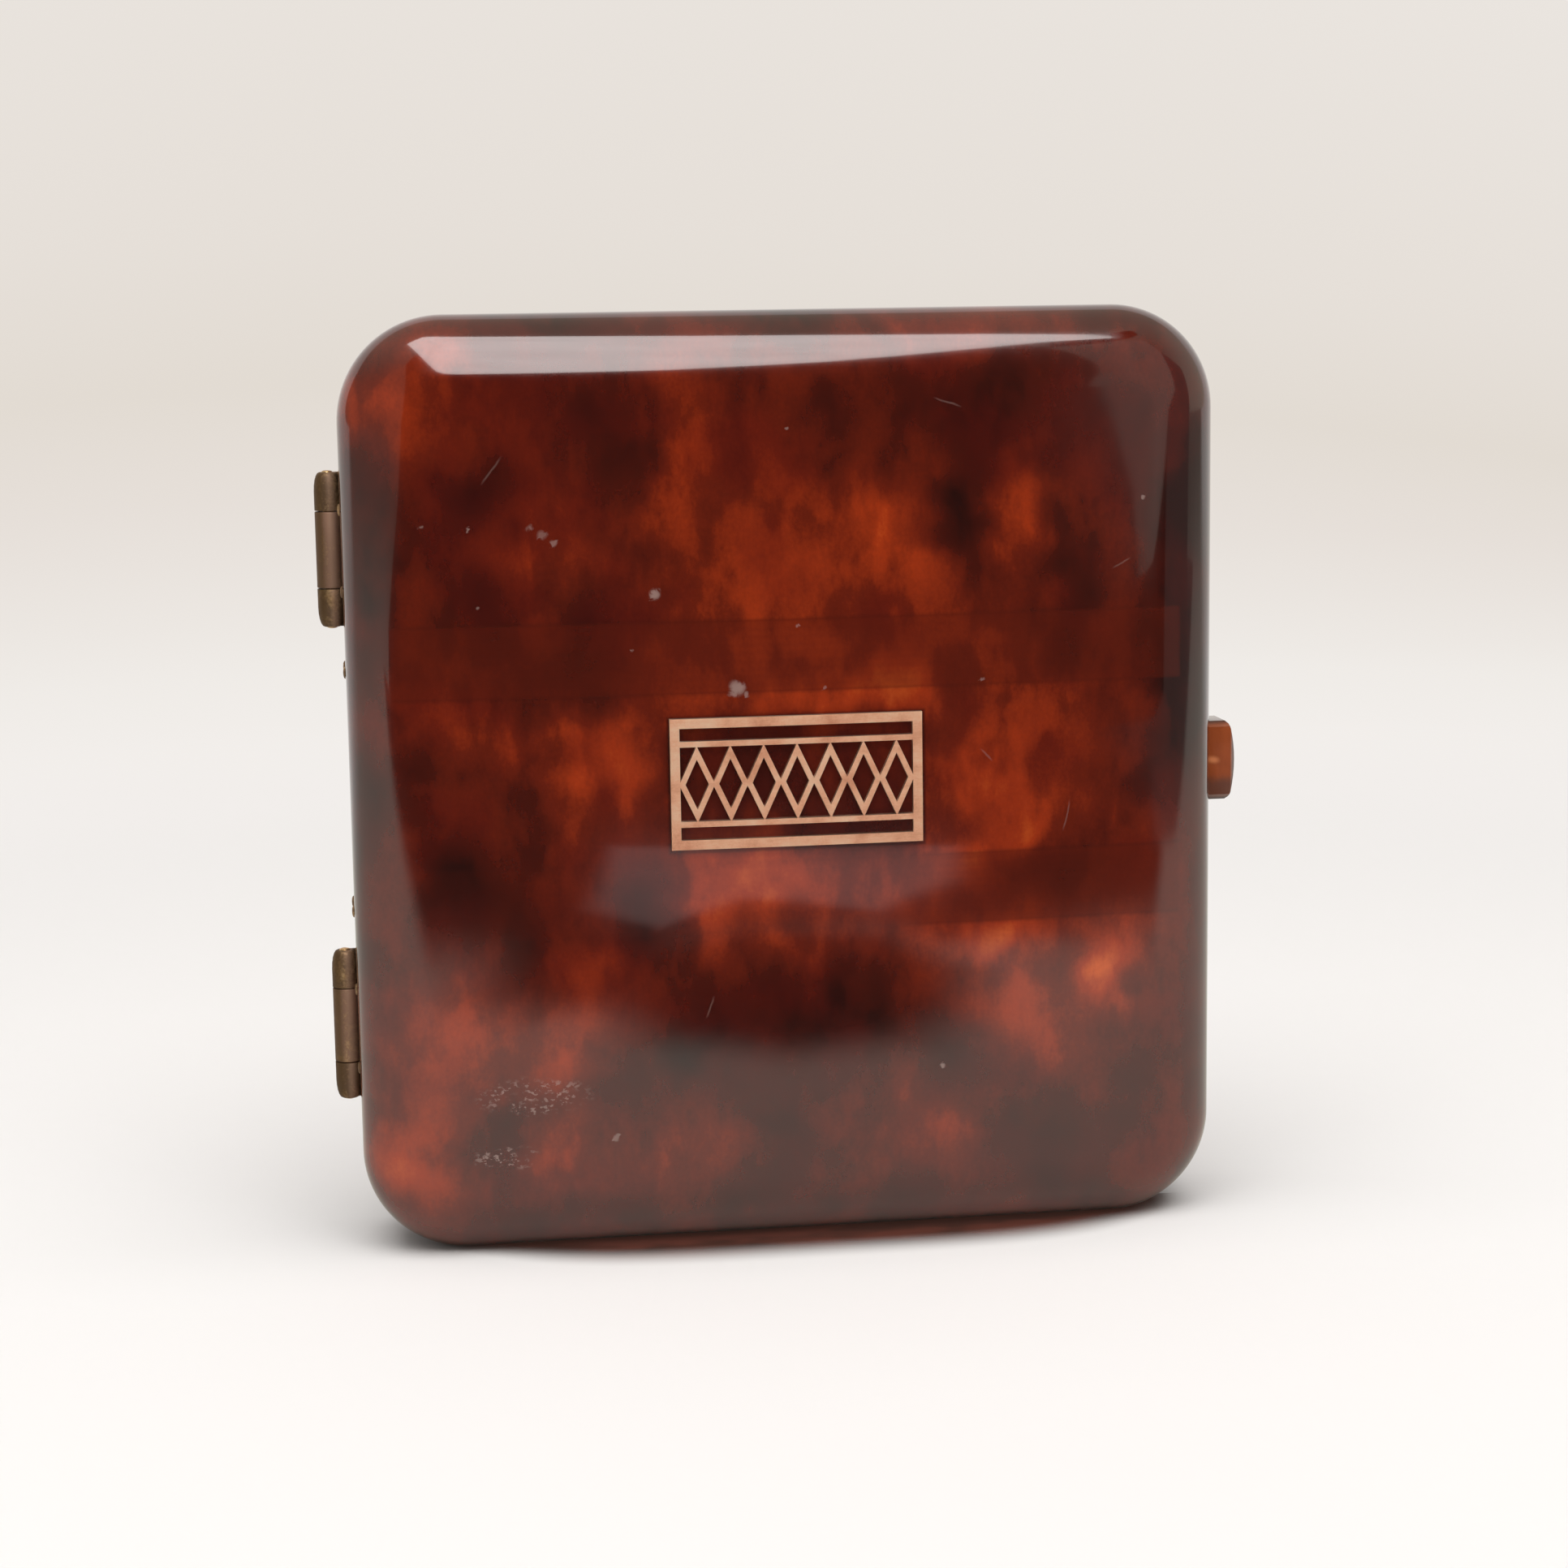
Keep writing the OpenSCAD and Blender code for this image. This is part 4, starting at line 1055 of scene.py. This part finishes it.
def strap_section(width, thick, ribs, around=104):
    """A closed flat section: a superellipse whose two faces carry rounded ribs.

    Returns places across the strap and through it. The rib height fades at the edges.
    """
    a = np.linspace(0, 2 * math.pi, around, endpoint=False)
    across = np.sign(np.cos(a)) * np.abs(np.cos(a)) ** 0.5
    through = np.sign(np.sin(a)) * np.abs(np.sin(a)) ** 0.22
    rib = np.abs(np.sin(across * ribs * math.pi / 2)) * (1 - across ** 6)
    across = across * width / 2
    through = through * (thick / 2 - 0.05 * MM + rib * 0.05 * MM)
    return across, through


class PocketCaseStraps(bpy.types.Operator):
    """Makes the four woven elastic straps"""

    bl_idname = "pocket_case.straps"
    bl_label = "Elastic straps"

    def execute(self, context):
        shape = context.scene.pocket_case_shape
        finish = context.scene.pocket_case_finish
        low, high = corners("back_upper_strap")
        look = elastic_look(finish, high[2] - low[2], shape.strap_ribs)
        for word, side in (("back", BACK), ("front", FRONT)):
            for place in ("upper", "lower"):
                node = f"{word}_{place}_strap"
                piece = self.strap(node, side, shape.strap_ribs)
                fit_out(shade(piece, 60.0), look, "elastic_strap", node)
        return {"FINISHED"}

    @staticmethod
    def strap(node, side, ribs):
        """Carries the ribbed section along the strap's path, with its ends closed."""
        low, high = corners(node)
        thick, bend, step = 0.7 * MM, 1.0 * MM, 0.5 * MM
        path, outward = strap_path(low, high, side, thick, bend, step)
        across, through = strap_section(high[2] - low[2], thick, ribs)
        x = path[:, :1] + outward[:, :1] * through
        y = path[:, 1:] + outward[:, 1:] * through
        z = np.broadcast_to(across, x.shape)
        middle = np.array([MIDDLE[0], SEAM_Y, (low[2] + high[2]) / 2])
        points = np.stack([x, side * y, z], -1) + middle
        rows, columns = x.shape
        ends = [np.arange(columns)[None], (rows - 1) * columns + np.arange(columns)[None, ::-1]]
        sides = grid_faces(rows, columns, close_columns=True)
        piece = mesh_piece(f"{node}_weave", points, [sides, *ends])
        run = np.concatenate([[0], np.cumsum(np.linalg.norm(np.diff(path, axis=0), axis=1))]) / MM
        place = np.stack([np.repeat(run, columns), np.tile(across / MM, rows)], -1)
        corner = np.empty(len(piece.data.loops), np.int32)
        piece.data.loops.foreach_get("vertex_index", corner)
        layer = piece.data.uv_layers.new(name="along")
        layer.data.foreach_set("uv", place[corner].astype(np.float32).ravel())
        return piece


# Catch

class PocketCaseCatch(bpy.types.Operator):
    """Makes the push button, its plate and hook, the housing, the bow spring and the keeper"""

    bl_idname = "pocket_case.catch"
    bl_label = "Catch"

    def execute(self, context):
        finish = context.scene.pocket_case_finish
        low, high = corners("push_button")
        finished_copy("push_button", "push_button_amber", amber_look(finish, low, high),
                      "amber_button", 0.16 * MM, 4, 25.0)
        sheet = brass_look("catch brass", finish.brass, finish.tarnish, 0.34, 0.24, 0.5)
        for node in ("button_plate", "catch_hook", "catch_housing", "keeper"):
            finished_copy(node, f"{node}_brass", sheet, "catch_brass", 0.06 * MM)
        pins = brass_look("button pin brass", finish.brass, finish.tarnish, 0.40, 0.26, 0.8)
        finished_copy("button_pins", "button_pins_brass", pins, "rivet_brass", 0.04 * MM)
        spring = finished_copy("catch_spring", "catch_spring_steel", steel_look(finish),
                               "spring_steel", 0.03 * MM)
        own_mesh(spring)
        return {"FINISHED"}


# Badge

class PocketCaseBadge(bpy.types.Operator):
    """Makes the pierced badge, bent to lie on the domed face"""

    bl_idname = "pocket_case.badge"
    bl_label = "Badge"

    def execute(self, context):
        shape = context.scene.pocket_case_shape
        finish = context.scene.pocket_case_finish
        piece = node_copy("badge", "badge_rose_gilt")
        self.split_long_edges(piece.data, 1.2 * MM)
        co = points_of(piece.data)
        x, z = co[:, 0] - MIDDLE[0], co[:, 2] - MIDDLE[2]
        # The sheet before the face falls by the dome times 1 - (1 - x^2/w^2)(1 - z^2/h^2), where
        # w and h are half the case's width and height. The prongs behind it stay straight.
        fall = shape.dome * (1 - (1 - (x / HALF_W) ** 2) * (1 - (z / HALF_H) ** 2))
        sheet = co[:, 1] < SEAM_Y - HALF_T
        co[:, 1] += fall * sheet
        piece.data.vertices.foreach_set("co", co.ravel())
        piece.data.update()
        soften(piece, 0.12 * MM, 3, 50.0)
        normals = np.empty(len(piece.data.vertices) * 3)
        piece.data.vertices.foreach_get("normal", normals)
        store(piece.data, "turned", 1 - np.abs(normals[1::3]))
        fit_out(shade(piece, 40.0), gilt_look(finish), "rose_gilt", "badge")
        return {"FINISHED"}

    @staticmethod
    def split_long_edges(mesh, longest):
        """Halves every edge that is longer than a length until none is left."""
        bm = bmesh.new()
        bm.from_mesh(mesh)
        while True:
            long_edges = [edge for edge in bm.edges if edge.calc_length() > longest]
            if not long_edges:
                break
            bmesh.ops.subdivide_edges(bm, edges=long_edges, cuts=1)
            bmesh.ops.triangulate(bm, faces=[face for face in bm.faces if len(face.verts) > 3])
        bm.to_mesh(mesh)
        bm.free()


# Studio

# Outlines of what the polished face mirrors, as x and z on a wall in front of the case,
# and as x and y on the floor, in millimetres from the case's middle
WALL_Y = -330 * MM
DARK_WALL = ((-322, -90), (-345, -53), (-306, -25), (-234, -6), (-162, 12), (-116, 29), (-106, 49),
             (-131, 121), (-155, 186), (-190, 289), (-150, 420), (128, 400), (122, 200), (118, 48),
             (124, 41), (132, 31), (142, 18), (148, 7), (154, -6), (262, 20), (262, -90))
DARK_GAP = ((126, 300), (141, 333), (156, 369), (252, 446), (348, 570), (339, 662), (230, 590),
            (181, 510), (163, 440), (136, 350))
DIM_WALL = ((262, -90), (262, 20), (384, 98), (420, 330), (760, 330), (760, -90))
GREY_WALL = ((129, 340), (123, 200), (119, 48), (125, 41), (133, 31), (143, 18), (149, 7), (157, -4),
             (200, 8), (258, 26), (378, 102), (412, 330), (330, 430))
SOFTBOX = ((-118, 328), (-44, 170), (-26, 151), (19, 176), (59, 222), (83, 266), (111, 325),
           (135, 382), (161, 417), (171, 510), (160, 626), (121, 741), (39, 860), (-253, 1075),
           (-383, 868))
DARK_FLOOR = ((-380, -330), (-205, -235), (-90, -180), (-45, -152), (0, -135), (60, -135),
              (120, -170), (170, -330))
DIM_FLOOR = ((170, -330), (130, -190), (200, -150), (300, -150), (760, -180), (760, -330))
DARK_OVAL = ((-8, -104), (-9, -86), (-4, -72), (7, -65), (18, -68), (26, -78), (30, -92),
             (26, -108), (8, -114))
DARK_LEFT = ((-26, -170), (-10, -170), (-12, -95), (-20, -94), (-25, -104))
DARK_RIGHT = ((42, -165), (56, -165), (54, -122), (42, -117))
PALE_CLOTH = ((-12, -196), (56, -180), (46, -152), (32, -134), (22, -144), (8, -149), (-6, -132),
              (-14, -148))


def soft_card(name, outline, blur, colour, strength=1.0):
    """A flat card that fades out over a blur outside its outline, seen in reflections only.

    Each outer point lies off its inner one along the mean of the two edges' outward normals.
    """
    inner = np.array(outline)
    edge = np.roll(inner, -1, 0) - inner
    up = np.cross(edge, np.roll(edge, -1, 0)).sum(0)
    normal = np.cross(edge, up)
    normal /= np.linalg.norm(normal, axis=1, keepdims=True)
    mean = normal + np.roll(normal, 1, 0)
    outer = inner + blur * mean / np.linalg.norm(mean, axis=1, keepdims=True)
    count = len(inner)
    mesh = bpy.data.meshes.new(name)
    ring = [[i, (i + 1) % count, count + (i + 1) % count, count + i] for i in range(count)]
    mesh.from_pydata(np.concatenate([inner, outer]).tolist(), [], [list(range(count)), *ring])
    store(mesh, "cover", np.repeat([1.0, 0.0], count))
    look, net = material(name)
    streaks = net.noise(net.place((1, 1, 0.25)), 0.035, 3.0, 0.6)
    glow = net.node("ShaderNodeEmission", None, {
        "Color": wide(colour), "Strength": (1.0 + streaks * 0.45) * strength})
    clear = net.node("ShaderNodeBsdfTransparent")
    cover = net.step(net.attribute("cover"), 0.0, 1.0)
    shader = net.node("ShaderNodeMixShader", None, {0: cover, 1: clear, 2: glow})
    net.node("ShaderNodeOutputMaterial", None, {"Surface": shader})
    mesh.materials.append(look)
    made = new_object(name, mesh)
    made.visible_camera = False
    made.visible_diffuse = False
    made.visible_shadow = False
    made.visible_transmission = False
    made.visible_volume_scatter = False


def on_wall(outline, y=WALL_Y):
    """The outline's x and z as places on an upright plane."""
    return [MIDDLE + np.array([x * MM, y, z * MM]) for x, z in outline]


def on_floor(outline, height):
    """The outline's x and y as places at a height over the floor."""
    return [np.array([MIDDLE[0] + x * MM, SEAM_Y + y * MM, height]) for x, y in outline]


def sweep_mesh(name, half_width, near, bend_start, bend, top, steps=24):
    """A floor that curves up into a wall: a profile of y and z carried along X."""
    a = np.linspace(0, math.pi / 2, steps)
    y = np.concatenate([[near], bend_start + bend * np.sin(a), [bend_start + bend]])
    z = np.concatenate([[0], bend * (1 - np.cos(a)), [top]])
    x = np.array([-half_width, half_width])
    points = np.stack([np.repeat(x, len(y)), np.tile(y, 2), np.tile(z, 2)], -1)
    mesh = bpy.data.meshes.new(name)
    mesh.from_pydata(points.tolist(), [], grid_faces(2, len(y))[:, ::-1].tolist())
    mesh.shade_smooth()
    return new_object(name, mesh)


class PocketCaseStage(bpy.types.Operator):
    """Makes the pale sweep, the light, the cards that the polish mirrors, and the camera"""

    bl_idname = "pocket_case.stage"
    bl_label = "Studio"

    def execute(self, context):
        studio = context.scene.pocket_case_studio
        self.sweep(studio)
        self.red_shade()
        self.cards(studio)
        self.world(context.scene, studio)
        self.lamp(studio)
        self.camera(context.scene, studio)
        return {"FINISHED"}

    @staticmethod
    def sweep(studio):
        """The floor takes light and shadow near the case. Further off, the camera sees a glow."""
        look, net = material("pale paper")
        tooth = net.noise(net.place(), 0.5, 3.0, 0.6)
        colour = net.mix(0.5 + tooth * 0.4, studio.floor, tuple(c * 0.985 for c in studio.floor))
        mirrored = net.node("ShaderNodeLightPath", None, None, out="Is Glossy Ray")
        warm = tuple(c * studio.mirrored_floor * t for c, t in zip(studio.floor, (1.0, 0.99, 0.90)))
        colour = net.mix(mirrored, colour, warm)
        paper = net.node("ShaderNodeBsdfPrincipled", None, {
            "Base Color": colour, "Roughness": 0.9, "Specular IOR Level": 0.1}, out="BSDF")
        away = net.node("ShaderNodeVectorMath", {"operation": "LENGTH"}, {0: net.place()}, out="Value")
        ramp_end = 2000.0
        far_colour = net.ramp(away / ramp_end, [
            (0.13, (0.905, 0.872, 0.848)), (0.215, (0.868, 0.835, 0.800)),
            (0.30, (0.792, 0.738, 0.692)), (0.345, (0.762, 0.708, 0.648)),
            (0.40, (0.79, 0.74, 0.69)), (0.55, (0.83, 0.79, 0.75))])
        glow = net.node("ShaderNodeEmission", None, {"Color": far_colour, "Strength": 1.0})
        seen = net.node("ShaderNodeLightPath", None, None, out="Is Camera Ray")
        _, behind, _ = net.xyz(net.place())
        seen = net.larger(seen, mirrored * net.step(behind, 20.0, 220.0))
        share = seen * net.step(away, 110.0, 340.0)
        shader = net.node("ShaderNodeMixShader", None, {0: share, 1: paper, 2: glow})
        net.node("ShaderNodeOutputMaterial", None, {"Surface": shader})
        made = sweep_mesh("paper_sweep", half_width=4.0, near=-3.0, bend_start=0.36, bend=0.9,
                          top=2.4)
        made.data.materials.append(look)

    @staticmethod
    def red_shade():
        """A painted shadow: a card with a faint glow that reddens and darkens the floor under the front half, for
        the light that comes through it.

        Its edge lies furthest (1 - ((x - centre)/half)^4) + beyond millimetres forward. It fades
        out before that edge and towards both ends, and swings with the front half.
        """
        centre, half, furthest, beyond = 2, 36, 11.3, 2.5
        edge_fade, end_fade = 6, 4
        share, x = np.meshgrid(
            np.linspace(0, 1, 29), np.linspace(centre - half, centre + half, 73), indexing="ij")
        reach = furthest * (1 - ((x - centre) / half) ** 4)
        forward = share * (reach + beyond)
        ends = np.clip((half - np.abs(x - centre)) / end_fade, 0, 1)
        cover = np.clip((reach + beyond - forward) / edge_fade, 0, 1) * ends
        points = np.stack([x, -forward, 0 * x], -1).reshape(-1, 3) * MM
        points += np.array([MIDDLE[0], SEAM_Y, 0.15 * MM])
        mesh = bpy.data.meshes.new("red shade")
        mesh.from_pydata(points.tolist(), [], grid_faces(*x.shape).tolist())
        store(mesh, "cover", cover)
        look, net = material("red shade")
        mottle = net.noise(net.place((0.5, 1, 1)), 0.25, 2.0)
        red = net.mix(net.step(mottle, -0.10, 0.14), (0.026, 0.011, 0.008), (0.085, 0.024, 0.016))
        net.surface(Base_Color=red, Roughness=0.9, Specular_IOR_Level=0.1,
                    Emission_Color=(0.027, 0.012, 0.009, 1.0), Emission_Strength=1.0,
                    Alpha=net.step(net.attribute("cover"), 0.0, 1.0))
        mesh.materials.append(look)
        made = new_object("red shade", mesh)
        made.visible_diffuse = False
        made.visible_glossy = False
        made.visible_shadow = False
        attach(made, BODY_OF["front_shell"])

    @staticmethod
    def cards(studio):
        """Stands the dark, grey and pale cards that only reflections see."""
        dark = (0.022, 0.019, 0.018)
        dim = (0.17, 0.155, 0.145)
        grey = (0.50, 0.465, 0.41)
        pale = (0.80, 0.60, 0.58)
        lamp = (1.0, 0.95, 0.93)
        soft_card("dark cloth behind the camera", on_wall(DARK_WALL), 1.5 * MM, dark)
        soft_card("dim wall at the side", on_wall(DIM_WALL), 12 * MM, dim)
        soft_card("grey wall at the side", on_wall(GREY_WALL, WALL_Y + MM), 1.5 * MM, grey)
        soft_card("dark gap by the softbox", on_wall(DARK_GAP, WALL_Y + 1.5 * MM), 5 * MM, dark)
        soft_card("dark far side of the table", on_floor(DARK_FLOOR, 0.2 * MM), 42 * MM, dark)
        soft_card("dim far side of the table", on_floor(DIM_FLOOR, 0.3 * MM), 30 * MM, dim)
        soft_card("dark cloth on the table", on_floor(DARK_OVAL, 0.4 * MM), 16 * MM, dark)
        soft_card("dark cloth at the left", on_floor(DARK_LEFT, 0.35 * MM), 22 * MM, dark)
        soft_card("dark cloth at the right", on_floor(DARK_RIGHT, 0.35 * MM), 22 * MM, dark)
        soft_card("pale cloth on the table", on_floor(PALE_CLOTH, 0.5 * MM), 9 * MM, pale)
        soft_card("softbox front", on_wall(SOFTBOX, WALL_Y + 2 * MM), 8 * MM, lamp, studio.softbox)

    @staticmethod
    def world(scene, studio):
        """Even light that is stronger from above, a dim room in reflections, pale for the camera."""
        world = bpy.data.worlds.new("pale room")
        scene.world = world
        net = Net(world)
        rays = {name: net.node("ShaderNodeLightPath", None, None, out=f"Is {name} Ray")
                for name in ("Camera", "Glossy", "Transmission")}
        across, _, height = net.xyz(net.node("ShaderNodeTexCoord", out="Generated"))
        above = net.step(height, -0.2, 0.9)
        sideways, upward = net.step(across, 0.55, 0.95), net.step(height, 0.4, 0.9)
        room = studio.mirrored * (1.0 + sideways * 1.9 + upward * 1.3)
        mirrored = net.larger(rays["Glossy"], rays["Transmission"])
        strength = (0.55 + above * 0.9) * studio.ambient
        strength = strength + mirrored * (room - strength)
        strength = strength + rays["Camera"] * (studio.surround - strength)
        tint = net.mix(mirrored, (1.0, 0.945, 0.90), (1.0, 0.985, 0.82))
        shader = net.node("ShaderNodeBackground", None, {"Color": tint, "Strength": strength})
        net.node("ShaderNodeOutputWorld", None, {"Surface": shader})

    @staticmethod
    def lamp(studio):
        """Hangs a broad soft light above the case and a little in front of it."""
        data = bpy.data.lights.new("soft lamp", "AREA")
        data.shape = "RECTANGLE"
        data.size, data.size_y = 0.9, 0.7
        data.energy = studio.lamp
        data.color = (1.0, 0.985, 0.965)
        made = new_object("soft lamp", data)
        made.location = Vector(MIDDLE) + Vector((-0.02, -0.24, 0.72))
        made.rotation_euler = (Vector(MIDDLE) - made.location).to_track_quat("-Z", "Y").to_euler()
        made.visible_glossy = False
        made.visible_camera = False

    @staticmethod
    def camera(scene, studio):
        """Stands the camera on its line of sight and rolls it about that line."""
        yaw, pitch, roll = studio.azimuth, studio.elevation, studio.roll
        right = Vector((math.cos(yaw), -math.sin(yaw), 0))
        into = Vector((math.sin(yaw) * math.cos(pitch), math.cos(yaw) * math.cos(pitch),
                       -math.sin(pitch)))
        up = right.cross(into)
        right, up = (right * math.cos(roll) + up * math.sin(roll),
                     up * math.cos(roll) - right * math.sin(roll))
        data = bpy.data.cameras.new("camera")
        data.lens = studio.lens
        data.sensor_width = 36
        data.shift_x = (PHOTO_PX / 2 - CASE_PX[0]) / PHOTO_PX
        data.shift_y = (CASE_PX[1] - PHOTO_PX / 2) / PHOTO_PX
        data.clip_start = 0.01
        made = new_object("camera", data)
        place = Vector(MIDDLE) - into * studio.distance
        made.matrix_world = axes_matrix(right, up, -into, place)
        scene.camera = made
        scene.view_settings.view_transform = "Standard"


def axes_matrix(right, up, back, place):
    """A matrix from three axes and a place."""
    rows = [(right[i], up[i], back[i], place[i]) for i in range(3)]
    return Matrix([*rows, (0, 0, 0, 1)])


# The sidebar and the running order

OPERATORS = (PocketCaseStage, PocketCaseShells, PocketCaseHinges, PocketCaseRivets,
             PocketCaseStraps, PocketCaseCatch, PocketCaseBadge)
GROUPS = (("pocket_case_shape", PocketCaseShape), ("pocket_case_finish", PocketCaseFinish),
          ("pocket_case_studio", PocketCaseStudio))


class PocketCasePanel(bpy.types.Panel):
    """Lists the pieces and their settings in the sidebar"""

    bl_idname = "VIEW3D_PT_pocket_case"
    bl_label = "Pocket Case"
    bl_space_type = "VIEW_3D"
    bl_region_type = "UI"
    bl_category = "Pocket Case"

    def draw(self, context):
        for operator in OPERATORS:
            self.layout.operator(operator.bl_idname)
        for name, group in GROUPS:
            box = self.layout.box()
            for prop in group.__annotations__:
                box.prop(getattr(context.scene, name), prop)


def register():
    """Registers the settings, the steps and the sidebar."""
    for name, group in GROUPS:
        bpy.utils.register_class(group)
        setattr(bpy.types.Scene, name, PointerProperty(type=group))
    for one in (*OPERATORS, PocketCasePanel):
        bpy.utils.register_class(one)


def unregister():
    """Takes out all that register put in, the last one first."""
    for one in (PocketCasePanel, *reversed(OPERATORS)):
        bpy.utils.unregister_class(one)
    for name, group in reversed(GROUPS):
        delattr(bpy.types.Scene, name)
        bpy.utils.unregister_class(group)


def main():
    """Runs every step in order."""
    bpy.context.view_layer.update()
    register()
    bpy.ops.pocket_case.stage()
    bpy.ops.pocket_case.shells()
    bpy.ops.pocket_case.hinges()
    bpy.ops.pocket_case.rivets()
    bpy.ops.pocket_case.straps()
    bpy.ops.pocket_case.catch()
    bpy.ops.pocket_case.badge()


if __name__ == "__main__":
    main()
